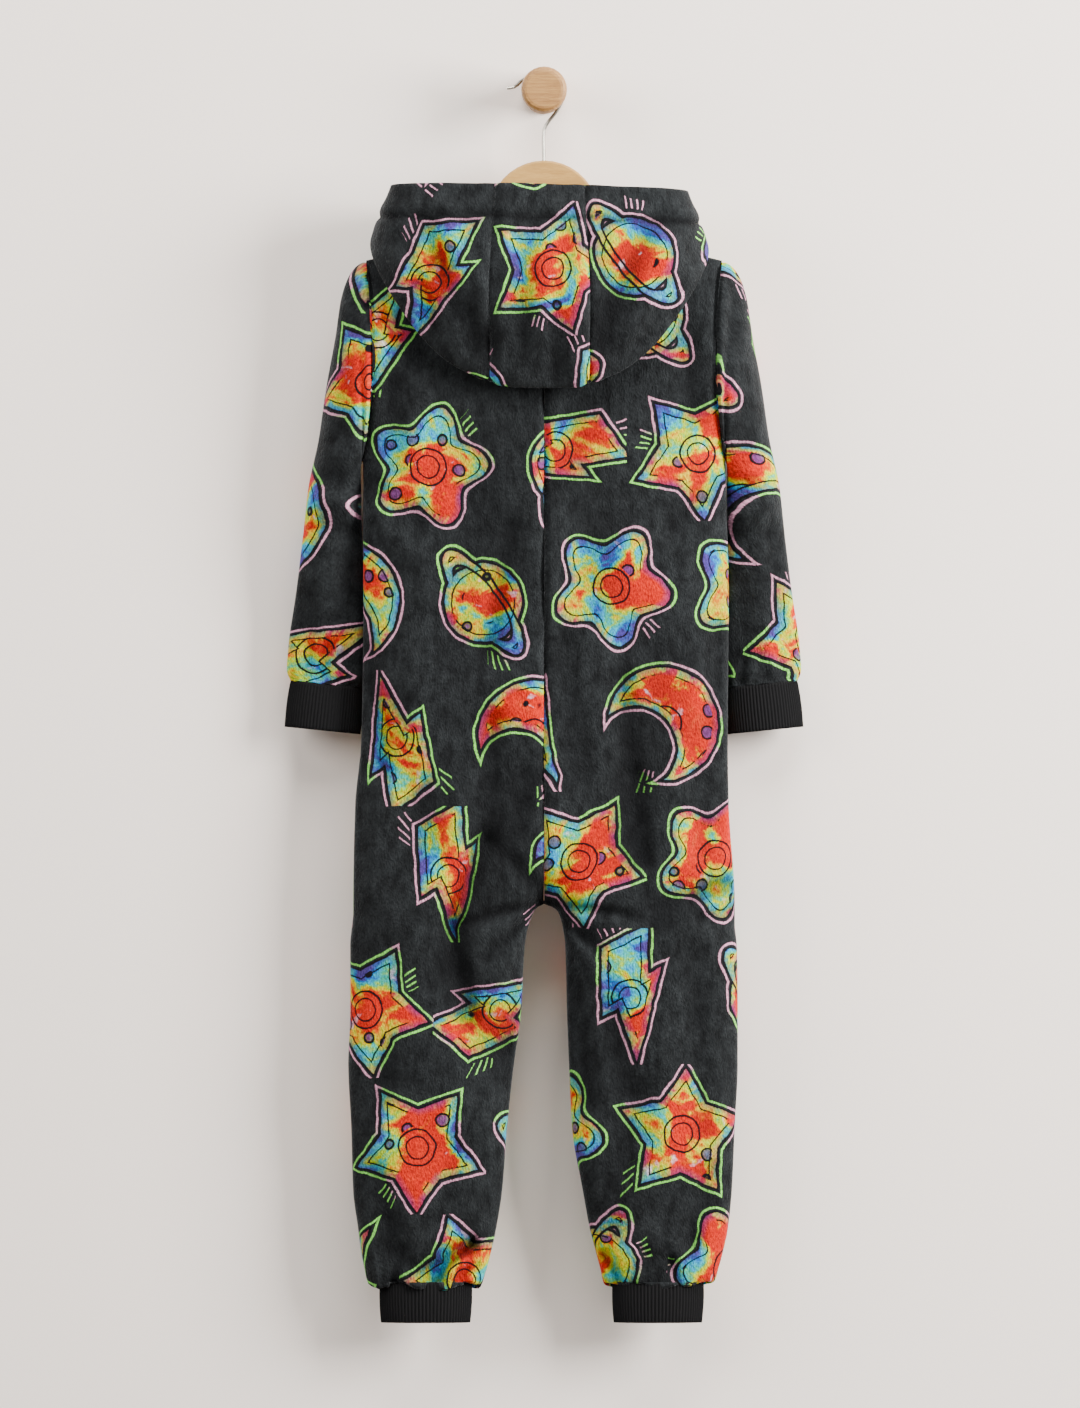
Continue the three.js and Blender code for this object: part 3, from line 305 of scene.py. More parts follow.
def smooth_curve(places, values, at):
    """Values between given ones, with no overshoot. values may have more columns."""
    places = np.asarray(places, float)
    values = np.asarray(values, float)
    flat = values.reshape(len(places), -1)
    step = np.diff(places)[:, None]
    slope = np.diff(flat, axis=0) / step
    before = slope[:-1]
    after = slope[1:]
    same = before * after > 0
    weight_a = 2 * step[1:] + step[:-1]
    weight_b = step[1:] + 2 * step[:-1]
    parts = weight_a / np.where(same, before, 1) + weight_b / np.where(same, after, 1)
    inner = np.where(same, (weight_a + weight_b) / parts, 0)
    tangent = np.concatenate([slope[:1], inner, slope[-1:]])
    at = np.clip(at, places[0], places[-1])
    k = np.clip(np.searchsorted(places, at, side="right") - 1, 0, len(places) - 2)
    h = step[k]
    t = (at - places[k])[:, None] / h
    result = (
        (1 + 2 * t) * (1 - t) ** 2 * flat[k] + t * (1 - t) ** 2 * h * tangent[k]
        + t * t * (3 - 2 * t) * flat[k + 1] + t * t * (t - 1) * h * tangent[k + 1]
    )
    return result.reshape((len(at),) + values.shape[1:])


def catmull_rows(grid, steps):
    """A grid with more rows, on Catmull-Rom curves through the old ones."""
    padded = np.concatenate([2 * grid[:1] - grid[1:2], grid, 2 * grid[-1:] - grid[-2:-1]])
    t = (np.arange(steps) / steps)[:, None, None]
    rows = []
    for k in range(len(grid) - 1):
        p0, p1, p2, p3 = padded[k:k + 4]
        rows.append(
            0.5 * (2 * p1 + (p2 - p0) * t + (2 * p0 - 5 * p1 + 4 * p2 - p3) * t ** 2
                   + (3 * p1 - p0 - 3 * p2 + p3) * t ** 3)
        )
    rows.append(grid[-1:])
    return np.concatenate(rows)


def fold_height(folds, x, z):
    """How far a face's folds move the cloth out."""
    height = np.zeros(np.broadcast(x, z).shape)
    for x0, z0, x1, z1, width, rise in folds:
        dx = x1 - x0
        dz = z1 - z0
        along = np.clip(((x - x0) * dx + (z - z0) * dz) / (dx * dx + dz * dz), 0, 1)
        distance = np.hypot(x - x0 - along * dx, z - z0 - along * dz)
        height = height + rise * bell(distance, width)
    return height


def wobble(x, z, seed):
    """A slow unevenness of hanging cloth, up to two millimetres."""
    return (
        1.1 * np.sin(x / 19 + 1.3 * seed) * np.cos(z / 37 + 0.7 * seed)
        + 0.7 * np.sin(x / 12 - z / 27 + 2.1 * seed)
        + 0.3 * np.sin(x / 6.1 + z / 9.7 + seed) * np.cos(z / 13 - x / 15)
    )


def sunk_line(distance, depth, width, roll, roll_place, roll_width):
    """How far cloth sinks into a line of stitches, with a soft roll beside it."""
    return depth * bell(distance, width) - roll * bell(distance - roll_place, roll_width)


def turned(grid):
    """A grid whose columns are now its rows."""
    return grid.transpose(1, 0, 2)


def closed(grid):
    """A tube's grid that ends with its first column again."""
    return np.concatenate([grid, grid[:, :1]], axis=1)


def lengths_along(grid):
    """Distance along each row from its first point."""
    steps = np.linalg.norm(np.diff(grid, axis=1), axis=2)
    return np.concatenate([np.zeros((len(grid), 1)), np.cumsum(steps, axis=1)], axis=1)


def longest_row(grid):
    return float(lengths_along(grid)[:, -1].max())


def cloth_normals(grid, around):
    """Unit vectors square to the grid, across times along."""
    if around:
        across = np.roll(grid, -1, axis=1) - np.roll(grid, 1, axis=1)
    else:
        across = np.gradient(grid, axis=1)
    return unit(np.cross(across, np.gradient(grid, axis=0)))


def tube_inward(grid):
    """Unit vectors square to a tube's grid, into the tube."""
    normals = cloth_normals(grid, True)
    outward = np.sign(grid[..., 1] - grid[..., 1].mean(axis=1, keepdims=True))
    return -normals if np.mean(normals[..., 1] * outward) > 0 else normals


# Meshes

def grid_faces(rows, columns, around):
    """Corners of a grid's faces: the numbers of their points, and of their places on the flat cloth."""
    i, j = np.indices((rows - 1, columns if around else columns - 1)).reshape(2, -1)
    corners = [(i, j), (i, j + 1), (i + 1, j + 1), (i + 1, j)]
    vertices = np.stack([a * columns + b % columns for a, b in corners], axis=1)
    places = np.stack([a * (columns + 1) + b for a, b in corners], axis=1)
    return vertices, places


def border_faces(start, end, columns, layer_points):
    """Faces that join the outer layer to the inner one, between points given by row and column."""
    a, b = (i * columns + j % columns for i, j in (start, end))
    place_a, place_b = (i * (columns + 1) + j for i, j in (start, end))
    vertices = np.stack([a, layer_points + a, layer_points + b, b], axis=1)
    places = np.stack([place_a, place_a, place_b, place_b], axis=1)
    return vertices, places


def cloth_object(name, outer, inner, flat, folds=None, around=False):
    """A closed thin shell between two grids. flat holds each place's coordinates on the uncut cloth, and
    folds the depths that get painted shade.
    """
    rows, columns = outer.shape[:2]
    layer_points = rows * columns
    points = np.concatenate([outer.reshape(-1, 3), inner.reshape(-1, 3)])
    if not around:
        flat = np.concatenate([flat, flat[:, -1:]], axis=1)
    i = np.arange(rows - 1)
    j = np.arange(columns if around else columns - 1)
    borders = [((0, j), (0, j + 1)), ((rows - 1, j + 1), (rows - 1, j))]
    if not around:
        borders += [((i + 1, 0), (i, 0)), ((i, columns - 1), (i + 1, columns - 1))]
    faces, places = grid_faces(rows, columns, around)
    parts = [(faces, places), (faces[:, ::-1] + layer_points, places[:, ::-1])]
    parts += [border_faces(start, end, columns, layer_points) for start, end in borders]
    faces, places = (np.concatenate(both) for both in zip(*parts))
    a, b, c, d = (points[faces[:, k]] for k in range(4))
    volume = np.sum(a * np.cross(b, c)) + np.sum(a * np.cross(c, d))
    if volume < 0:
        faces = faces[:, ::-1]
        places = places[:, ::-1]
    mesh = bpy.data.meshes.new(name)
    mesh.from_pydata((points * MM).tolist(), [], faces.tolist())
    layer = mesh.uv_layers.new(name="cloth")
    layer.data.foreach_set("uv", (flat.reshape(-1, 2)[places.ravel()] * MM).ravel())
    printed = mesh.attributes.new("printed", "FLOAT", "POINT")
    printed.data.foreach_set("value", np.repeat([1.0, 0.0], layer_points))
    # Painted shade: the deeper a point lies in a fold's trough, the darker its pile is drawn
    if folds is not None:
        crease_shade_share = np.clip(-folds.ravel() / FULL_CREASE_SHADE_DEPTH, 0, 1)
        painted_crease_shade = mesh.attributes.new("painted_crease_shade", "FLOAT", "POINT")
        painted_crease_shade.data.foreach_set("value", np.concatenate([crease_shade_share, 0 * crease_shade_share]))
    mesh.shade_smooth()
    mesh.update()
    obj = bpy.data.objects.new(name, mesh)
    bpy.context.scene.collection.objects.link(obj)
    return obj


def grid_area(grid):
    """Area of a grid's surface, in square metres."""
    a = grid[:-1, :-1]
    c = grid[1:, 1:]
    halves = [np.cross(corner - a, c - a) for corner in (grid[:-1, 1:], grid[1:, :-1])]
    return float(np.linalg.norm(halves, axis=3).sum()) / 2 * MM ** 2


def dress(obj, node, material):
    """Puts a piece in the place of a CAD node, on the garment, with its material."""
    obj.data.materials.append(material)
    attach(obj, "garment")
    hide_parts(node)


# Body panels

def outline_at(column, z):
    table = np.array(OUTLINE[::-1], float)
    return smooth_curve(table[:, 0], table[:, OUTLINE_COLUMNS.index(column)], z)


def body_roundness(z):
    return BODY_ROUNDNESS + UNDERARM_FULLNESS * bell(z - UNDERARM[1], UNDERARM_REACH)


def depth_share(share, roundness):
    return np.maximum(0, 1 - np.abs(share) ** roundness) ** (1 / roundness)


def column_share(shares):
    return np.sin(np.radians(90 * np.asarray(shares))) ** (2 / BODY_ROUNDNESS)


NECK_REACH = SHOULDER_TIP[0] * float(column_share(NECK_SHARE))


def armhole_angle(step):
    """A quarter turn at the shoulder, 0 at half height and minus a quarter turn at the underarm."""
    return np.radians(90 - 180 * step / ARMHOLE_STEPS)


def armhole_x(step):
    straight = lerp(SHOULDER_TIP[0], UNDERARM[0], step / ARMHOLE_STEPS)
    middle = (SHOULDER_TIP[0] + UNDERARM[0]) / 2
    return straight + (ARMHOLE_WAIST_X - middle) * np.cos(armhole_angle(step)) ** 2


def armhole_inward(step, face):
    angle = armhole_angle(step)
    level = -face * np.cos(angle) / ARMHOLE_HALF_DEPTH
    return unit(np.stack([0 * angle, level, -np.sin(angle) / ARMHOLE_HALF_HEIGHT], axis=-1))


def neck_inward(points):
    x = points[..., 0]
    y = points[..., 1] - BODY_Y
    level = unit(np.stack([-x / NECK_REACH ** 2, -y / NECK_HALF_DEPTH ** 2, 0 * x], axis=-1))
    level[..., 2] = -(np.minimum(1, np.abs(x) / NECK_REACH) ** 2)
    return unit(level)


def centre_gap(face, z):
    return np.where((face > 0) & (z >= ZIP_END_Z), ZIP_HALF_WIDTH + HALF_GAP, HALF_GAP)


def top_edge_z(face, share):
    neck = NECK_REACH / SHOULDER_TIP[0]
    centre = FRONT_NECK_Z if face > 0 else BACK_NECK_Z
    turn = 1 - np.sqrt(1 - np.minimum(1, share / neck) ** 2)
    on_neck = lerp(centre, NECK_POINT_Z, turn)
    on_shoulder = lerp(NECK_POINT_Z, SHOULDER_TIP[1], (share - neck) / (1 - neck))
    return np.where(share <= neck, on_neck, on_shoulder)


def neck_half_depth(share):
    ratio = np.minimum(1, share / (NECK_REACH / SHOULDER_TIP[0]))
    return NECK_HALF_DEPTH * np.sqrt(1 - ratio ** 2)


def upper_rows(face, shares):
    """x, half depth and z of a panel's rows down to the underarm, and their steps on the armhole."""
    step = np.linspace(0, ARMHOLE_STEPS, ARMHOLE_ROWS)[:, None]
    share = column_share(shares)[None, :]
    angle = armhole_angle(step)
    fall = (1 - np.sin(angle)) / 2
    drop = fall * (SHOULDER_TIP[1] - UNDERARM[1])
    arch = np.sqrt(1 - (1 - np.minimum(1, drop / RIDGE_DROP)) ** 2)
    z = lerp(top_edge_z(face, share), UNDERARM[1], fall)
    roundness = body_roundness(lerp(SHOULDER_TIP[1], UNDERARM[1], fall))
    # 0 at the armhole's edge, where the depth is the armhole's, and 1 where it is the body's
    body_part = 1 - (1 - depth_share(share, roundness)) * np.minimum(1, step)
    # The armhole's depth fades sooner next to its edge, so that no ledge is left at the underarm
    fading = 1 + 2 * np.clip(4 * body_part, 0, 1)
    at_armhole = ARMHOLE_HALF_DEPTH * np.maximum(np.cos(angle), 0) ** fading
    half_depth = lerp(at_armhole, lerp(neck_half_depth(share), BODY_DEPTH, arch), body_part)
    x = armhole_x(step) * share
    x[:, -1] -= HALF_GAP
    return x, half_depth, z, step[:, 0]


def lower_rows(side, shares):
    """x, half depth and z of a panel's rows from the underarm to the hem, and the number to the crotch."""
    torso = np.linspace(UNDERARM[1] - TORSO_START, CROTCH_Z + CROTCH_RISE, TORSO_ROWS)
    fallen = np.linspace(0, 1, RISE_ROWS + 1)[1:]
    legs = CROTCH_Z - np.concatenate([
        BELOW_CROTCH,
        np.linspace(LEG_START, CROTCH_Z - GATHER_TOP_Z, LEG_ROWS),
        np.linspace(CROTCH_Z - GATHER_TOP_Z + GATHER_START, CROTCH_Z - HEM_Z, GATHER_ROWS),
    ])
    z = np.concatenate([torso, CROTCH_Z + CROTCH_RISE * (1 - fallen), legs])
    # First angle of a row: a quarter turn at the centre seam, and 0 on the leg, which is half a tube
    start = np.radians(np.concatenate([90 + 0 * torso, 90 * (1 - fallen ** 3), 0 * legs]))
    name = "left" if side < 0 else "right"
    outer = outline_at(name, z)
    inner = np.where(z >= CROTCH_Z, 0, outline_at(name + "_in", z))
    power = 2 / BODY_ROUNDNESS
    half_width = (outer - inner) / (1 + signed_power(np.maximum(np.cos(start), 0), power))
    middle = (outer - half_width)[:, None]
    depth = outline_at("depth", z)[:, None]
    half_width = half_width[:, None]
    z = z[:, None]
    angle = lerp(start[:, None], math.pi, shares[None, :])
    x = middle - half_width * signed_power(np.cos(angle), power)
    gathered = np.clip((GATHER_TOP_Z - z) / (GATHER_TOP_Z - HEM_Z), 0, 1) ** 2 * (z > HEM_Z)
    drawn = GATHER_DEPTH * (1 - np.cos(2 * GATHERS * angle))
    drawn = drawn + FINE_GATHER_DEPTH * (1 - np.cos(2 * FINE_GATHERS * angle + side))
    drawn = drawn * gathered * np.sqrt(np.abs(np.sin(angle)))
    half_depth = depth * depth_share((x - middle) / half_width, body_roundness(z)) - drawn
    half_depth[:, -1] = 0
    return x, half_depth, np.broadcast_to(z, x.shape), len(torso) + len(fallen)


def body_rows(side, face):
    """x, half depth and z of a panel's rows, the armhole's steps and the crotch's row."""
    to_neck = np.linspace(0, NECK_SHARE, NECK_COLUMNS)
    shares = np.concatenate([to_neck, np.linspace(NECK_SHARE, 1, SHOULDER_COLUMNS)[1:]])
    *upper, steps = upper_rows(face, shares)
    *lower, to_crotch = lower_rows(side, shares)
    x, half_depth, z = (np.concatenate(pair) for pair in zip(upper, lower))
    return x, half_depth, z, steps, len(steps) + to_crotch - 1


def ankle_overhang(x, z, side, face):
    """How far the fleece sags over the ankle cuff, unevenly."""
    sag = 8 + 3.5 * np.sin(x / 12 + 2 * face) + 2.6 * np.sin(x / 5.2 + 5 * side)
    overhang = sag * bell(z - HEM_Z - SAG_PLACE, SAG_WIDTH) * (z < HEM_Z + SAG_TOP)
    overhang[-1] = 0
    return overhang


def panel_sink(grid, z, half_depth, on_armhole):
    """How far a panel sinks into the seams at its two sides."""
    along = lengths_along(grid)
    from_end = along[:, -1:] - along
    at_centre = np.clip((z - CROTCH_Z) / CENTRE_SEAM_FADE, SOFT_SEAM, 1) * sunk_line(along, *SEAM)
    at_side = np.where(on_armhole, 1, SOFT_SEAM) * sunk_line(from_end, *SEAM)
    near_top = np.clip(np.arange(len(grid)) / TOP_SEAM_ROWS, 0, 1)[:, None]
    return (at_centre + at_side) * near_top * np.minimum(1, half_depth / SINK_FADE)


def panel_print_place(grid, x, side):
    """Where a panel's places lie on the print.

    It is the height, and the level distance from a column that stays on the face, so that the print
    runs on past the crotch. Over the shoulder it goes on along the cloth.
    """
    level = lengths_along(grid[..., :2])
    anchor = slice(PRINT_COLUMN, PRINT_COLUMN + 1)
    across = np.abs(x[:, anchor]) + level - level[:, anchor]
    height = grid[..., 2].copy()
    climb = np.linalg.norm(np.diff(grid[..., 1:], axis=0), axis=2)
    for row in range(RIDGE_ROW - 1, -1, -1):
        height[row] = height[row + 1] + climb[row]
        across[row] = across[row + 1] + np.abs(x[row]) - np.abs(x[row + 1])
    return np.stack([side * across, height], axis=2)


def body_panel(side, face):
    """The outer and inner grids of a panel, its places on the print, and the height of its folds."""
    name = "back" if face < 0 else "front"
    x, half_depth, z, steps, crotch_row = body_rows(side, face)
    gap = np.where(np.arange(len(x)) <= crotch_row, centre_gap(face, z[:, 0]), 0)
    x = side * np.maximum(x, gap[:, None] * (np.arange(x.shape[1]) == 0))
    folds = fold_height(LARGE_FOLDS[name], x, z) + wobble(x, z, 2 * side + face)
    folds = folds + SMALL_FOLD_STRENGTH * fold_height(SMALL_FOLDS[name], x, z)
    folds = folds * np.minimum(1, half_depth / SEAM_FOLD_FADE)
    depth = np.maximum(half_depth + folds, HALF_GAP)
    grid = np.stack([x, BODY_Y + face * depth, z - ankle_overhang(x, z, side, face)], axis=2)
    turn = -side * face
    on_armhole = (np.arange(len(grid)) < len(steps))[:, None]
    sink = panel_sink(grid, z, half_depth, on_armhole)
    grid = grid + cloth_normals(grid, False) * (turn * sink)[..., None]
    grid[:len(steps), -1, 0] = x[:len(steps), -1]

    edge = cloth_normals(grid, False) * turn
    edge[0, :, 1] = 0
    edge[:, -1, 1] = 0
    edge[:len(steps), -1] = armhole_inward(steps, face)
    edge[0, :NECK_COLUMNS] = neck_inward(grid[0, :NECK_COLUMNS])
    edge[:crotch_row, 0, 0] = 0
    edge[crotch_row:, 0, 1] = 0
    edge[crotch_row, 0] = (0, 0, 1)
    edge[-1, :, 2] = 0
    inner = grid + unit(edge) * FLEECE
    return grid, inner, panel_print_place(grid, x, side), folds


# Sleeves

def share_to_step(share):
    """The armhole's step at a share of its height."""
    return ARMHOLE_STEPS * np.arccos(np.clip(1 - 2 * share, -1, 1)) / math.pi


def sleeve_rings(side, angle, face, step, share):
    """The sleeve's stations as closed rings. The first one follows the armhole."""
    rings = []
    for k, (out_x, out_z, in_x, in_z, depth, y, bow) in enumerate(SLEEVE_STATIONS):
        x = lerp(out_x, in_x, share) + bow * np.cos(angle) ** 2
        if k == 0:
            x = armhole_x(step) + HALF_GAP
        z = lerp(out_z, in_z, share)
        rings.append(np.stack([side * x, y + face * depth * np.abs(np.cos(angle)), z], axis=1))
    return np.array(rings)


def sleeve_print_place(grid, side):
    """Where a sleeve's places lie on the print: height, and level distance from its outer edge."""
    half = grid.shape[1] // 2
    ring = closed(grid)
    outer_edge = grid[::-1, half]
    x, y = (np.interp(ring[..., 2], outer_edge[:, 2], outer_edge[:, axis]) for axis in (0, 1))
    reach = np.hypot(ring[..., 0] - x, ring[..., 1] - y)
    to_front = np.where(np.arange(ring.shape[1]) > half, 1, -1)
    return np.stack([side * to_front * reach, ring[..., 2]], axis=2)


def sleeve(side):
    """The outer and inner grids of a sleeve, its places on the print, and the height of its folds."""
    turn = np.arange(SLEEVE_POINTS) / SLEEVE_POINTS * 360
    angle = np.radians(-90 - turn)
    share = (1 - np.sin(angle)) / 2
    face = np.where(turn < 180, -1, 1)
    step = share_to_step(share)
    rings = sleeve_rings(side, angle, face, step, share)
    last = len(rings) - 1
    spans = [np.linspace(start, end, count) for start, end, count in SLEEVE_ROWS]
    place = np.unique(np.concatenate(spans))
    grid = smooth_curve(np.arange(len(rings)), rings, place)
    inward = tube_inward(grid)
    x = np.abs(grid[..., 0])
    z = grid[..., 2]
    back = fold_height(SLEEVE_FOLDS["back"], x, z + 4 * side)
    front = fold_height(SLEEVE_FOLDS["front"], x, z - 5 * side)
    to_face = np.abs(inward[..., 1])
    folds = np.where(inward[..., 1] > 0, back, front) * to_face ** 2 + wobble(x, z, 5 + side) * to_face
    ends_free = np.clip(place / 1.5, 0, 1) * np.clip((last - place) / 0.5, 0, 1)
    folds = SLEEVE_FOLD_STRENGTH * folds * ends_free[:, None]
    gathered = np.clip((place - last) / 1.5 + 1, 0, 1) ** 2 * (place < last)
    waves = SLEEVE_GATHER_DEPTH * (1 - np.cos(2 * SLEEVE_GATHERS * angle + side)) * gathered[:, None]
    steps = np.linalg.norm(np.diff(grid, axis=0), axis=2).max(axis=1)
    from_seam = np.concatenate([[0], np.cumsum(steps)])
    roll = np.clip(sunk_line(from_seam, *SEAM), 0, None)[:, None]
    grid = grid + inward * (roll + waves - folds)[..., None]
    grid[0, :, 0] = rings[0, :, 0]
    edge = tube_inward(grid)
    edge[0] = armhole_inward(step, face)
    return grid, grid + edge * FLEECE, sleeve_print_place(grid, side), folds


# Hood

def centripetal(points, at):
    """A place on a centripetal Catmull-Rom curve through the points."""
    place = (len(points) - 1) * at
    k = min(int(place), len(points) - 2)
    t = place - k
    p1 = points[k]
    p2 = points[k + 1]
    p0 = points[k - 1] if k > 0 else 2 * points[0] - points[1]
    p3 = points[k + 2] if k + 2 < len(points) else 2 * points[-1] - points[-2]
    d0, d1, d2 = (math.sqrt(np.linalg.norm(b - a)) for a, b in ((p0, p1), (p1, p2), (p2, p3)))
    m1 = ((p1 - p0) / d0 - (p2 - p0) / (d0 + d1) + (p2 - p1) / d1) * d1
    m2 = ((p2 - p1) / d1 - (p3 - p1) / (d1 + d2) + (p3 - p2) / d2) * d1
    return (
        (2 * t ** 3 - 3 * t ** 2 + 1) * p1 + (t ** 3 - 2 * t ** 2 + t) * m1
        + (3 * t ** 2 - 2 * t ** 3) * p2 + (t ** 3 - t ** 2) * m2
    )


def neckline(side):
    """The part's half neckline from the centre back, over the neck point, to the centre front."""
    line = []
    for face, name in ((-1, "back"), (1, "front")):
        part = []
        for share in column_share(CAD_COLUMN_SHARES[:-1]):
            z = float(top_edge_z(face, share))
            x = max(SHOULDER_TIP[0] * share, float(centre_gap(face, z)) if share == 0 else 0)
            depth = float(neck_half_depth(share))
            fade = min(1, depth / SEAM_FOLD_FADE)
            depth += fade * float(fold_height(LARGE_FOLDS[name], np.array(side * x), np.array(z)))
            part.append((side * x, BODY_Y + face * depth, z))
        line.append(part)
    top = (side * NECK_REACH, BODY_Y, NECK_POINT_Z)
    return np.array(line[0] + [top] + line[1][::-1])


def hood_section(side, station):
    """Points of the hood from the neckline to the rim, at one station."""
    share, rise, lean, *places = station
    line = neckline(side)
    spot = share * (len(line) - 1)
    k = min(int(spot), len(line) - 2)
    neck = lerp(line[k], line[k + 1], spot - k)
    neck[2] += NECK_SEAM_GAP
    outward = -neck_inward(neck[None, :])[0]
    outward[2] = 0
    outward = unit(outward)
    up = np.array([0, 0, 1.0])
    over = neck + outward * lean + up * rise
    lift = neck + outward * 0.1 * lean + up * 0.65 * rise
    weight = min(1, (1 - share) * 3)
    points = [neck, lift, over]
    for x, y, z in places:
        px = side * x + HOOD_SHIFT * weight
        points.append(np.array([px, y, z + HOOD_TILT * px * weight]))
    start = 2 / (len(points) - 1)
    ways = [lerp(start, 1, (k + 1) / HOOD_SAMPLES) for k in range(HOOD_SAMPLES)]
    return np.array(points[:3] + [centripetal(points, way) for way in ways])


def hood_fold_height(grid):
    """Soft folds of the hood's outer layer, as distances out of the cloth."""
    x = grid[..., 0]
    z = grid[..., 2]
    outer_layer = np.clip((-grid[..., 1] - HOOD_FOLD_START) / HOOD_FOLD_FADE, 0, 1)
    return HOOD_FOLD_STRENGTH * outer_layer * (fold_height(HOOD_FOLDS, x, z) + wobble(x, z, 9))


def whole_hood():
    """Outer and inner grids of the whole hood, the depths of its folds and hem groove for painted shade, and
    the sections where its pieces meet.
    """
    left = [hood_section(-1, station) for station in HOOD_STATIONS]
    right = [hood_section(1, station) for station in HOOD_STATIONS]
    grid = catmull_rows(np.array(left[::-1] + right[1:]), HOOD_FINER)
    grid = turned(catmull_rows(turned(grid), HOOD_FINER))
    inward = cloth_normals(grid, False)
    along = lengths_along(grid)
    hem = sunk_line(HOOD_HEM - (along[:, -1:] - along), *HEM_STITCHING)
    folds = hood_fold_height(grid)
    sink = hem - folds
    middle = len(grid) // 2
    cuts = [middle - HOOD_STRIP_STATION * HOOD_FINER, middle + HOOD_STRIP_STATION * HOOD_FINER]
    for cut in cuts:
        sink = sink + sunk_line(np.linalg.norm(grid - grid[cut], axis=2), *SEAM)
    sink = sink * np.clip((along - NECK_SINK_START) / NECK_SINK_FADE, 0, 1)
    grid = grid + inward * sink[..., None]
    inward = cloth_normals(grid, False)
    inward[:, 0] = neck_inward(grid[:, 0])
    # The hem's groove gets painted shade along with the troughs of the folds
    return grid, grid + inward * FLEECE, folds - HEM_GROOVE_SHADE * hem, [0, *cuts, len(grid) - 1]


def hood_piece(outer, inner, first, last):
    """One of the three pieces. Its flat coordinates are measured from its centre seam and from the rim."""
    rows = slice(first, last + 1)
    grid = outer[rows].copy()
    under = inner[rows].copy()
    for row, beside, border in ((0, 1, first), (-1, -2, last)):
        if border in (0, len(outer) - 1):
            continue
        across = unit(grid[beside] - grid[row]) * HALF_GAP
        grid[row] += across
        under[row] += across
    along = lengths_along(grid)
    across = lengths_along(turned(grid[..., :2])).T
    if first == 0:
        across = across - across[-1:]
    flat = np.stack([across, along - along[:, -1:]], axis=2)
    return grid, under, flat


# Cuffs

def cuff(name, size, ends, half_depth, material):
    """A ribbed tube that hangs from the fleece's hem, between the hem's two ends."""
    length, ribs, flare = size
    middle = ends.mean(axis=0)
    across = unit(ends[0] - ends[1])
    half_width = np.linalg.norm(ends[0] - ends[1]) / 2
    axis = np.cross(across, [0, 1.0, 0])
    axis = -axis if axis[2] > 0 else axis
    points = ribs * POINTS_PER_RIB
    angle = np.arange(points) / points * 2 * math.pi
    share = np.linspace(0, 1, CUFF_ROWS)[:, None]
    uneven = 0.5 * np.sin(5 * angle + 3 * share) * (1 - share) ** 2
    ends = np.clip(np.minimum(share, 1.04 - share) / 0.05, 0.3, 1)
    rib = RIB_HEIGHT / 2 * np.cos(ribs * angle)[None, :] * ends
    bulge = CUFF_BULGE * np.sin(math.pi * share)
    along = (SEAM_GAP + length * share)[..., None] * axis

    def surface(push):
        grown = flare * share + bulge + uneven + push
        width = half_width * CUFF_SQUEEZE + grown
        depth = half_depth * CUFF_SQUEEZE + grown
        level = (width * np.cos(angle))[..., None] * across
        return middle + level + (depth * np.sin(angle))[..., None] * np.array([0, 1.0, 0]) + along

    outer = surface(rib)
    ring = closed(outer)
    around = lengths_along(ring)
    flat = np.stack([around, np.broadcast_to(-length * share, around.shape)], axis=2)
    obj = cloth_object(name, outer, surface(-RIB_KNIT), flat, around=True)
    dress(obj, name, material)


# Materials

class Field:
    """A number that varies over a surface: the output of a shader node. Arithmetic adds math nodes."""

    tree = None

    def __init__(self, socket):
        self.socket = socket

    def apply(self, operation, *others, clamp=False):
        node = new_node("Math")
        node.operation = operation
        node.use_clamp = clamp
        set_inputs(node, dict(enumerate((self,) + others)))
        return Field(node.outputs[0])

    __add__ = partialmethod(apply, "ADD")
    __sub__ = partialmethod(apply, "SUBTRACT")
    __mul__ = partialmethod(apply, "MULTIPLY")
    __truediv__ = partialmethod(apply, "DIVIDE")
    floor = partialmethod(apply, "FLOOR")
    sin = partialmethod(apply, "SINE")
    cos = partialmethod(apply, "COSINE")
    abs = partialmethod(apply, "ABSOLUTE")
    max = partialmethod(apply, "MAXIMUM")
    min = partialmethod(apply, "MINIMUM")
    above = partialmethod(apply, "GREATER_THAN")
    below = partialmethod(apply, "LESS_THAN")
    angle_to = partialmethod(apply, "ARCTAN2")
    modulo = partialmethod(apply, "MODULO")

    def is_number(self, number):
        return self.apply("COMPARE", float(number), 0.25)

    def rise(self, start, gain):
        """0 up to a start, then rising with a gain, 1 at most."""
        return (self - start).apply("MULTIPLY", gain, clamp=True)

    def soft_below(self, limit, blur):
        """1 well below a limit, 0 well above it."""
        return ((self - limit) / -blur).apply("ADD", 0.5, clamp=True)

    def stroke(self, half_width, blur):
        """1 on a line where the number is near 0."""
        return self.abs().soft_below(half_width, blur)


def connect(value, socket):
    """Feeds a socket with a Field, another socket, a colour or a plain number."""
    if isinstance(value, Field):
        value = value.socket
    if isinstance(value, bpy.types.NodeSocket):
        Field.tree.links.new(value, socket)
    else:
        socket.default_value = value + (1.0,) if isinstance(value, tuple) else value


def set_inputs(node, inputs):
    for name, value in inputs.items():
        connect(value, node.inputs[name])


def new_node(kind):
    return Field.tree.nodes.new("ShaderNode" + kind)


def new_material(name):
    """A material and its shader. The nodes made after this call belong to it."""
    material = bpy.data.materials.new(name)
    material.use_nodes = True
    Field.tree = material.node_tree
    return material, material.node_tree.nodes["Principled BSDF"]


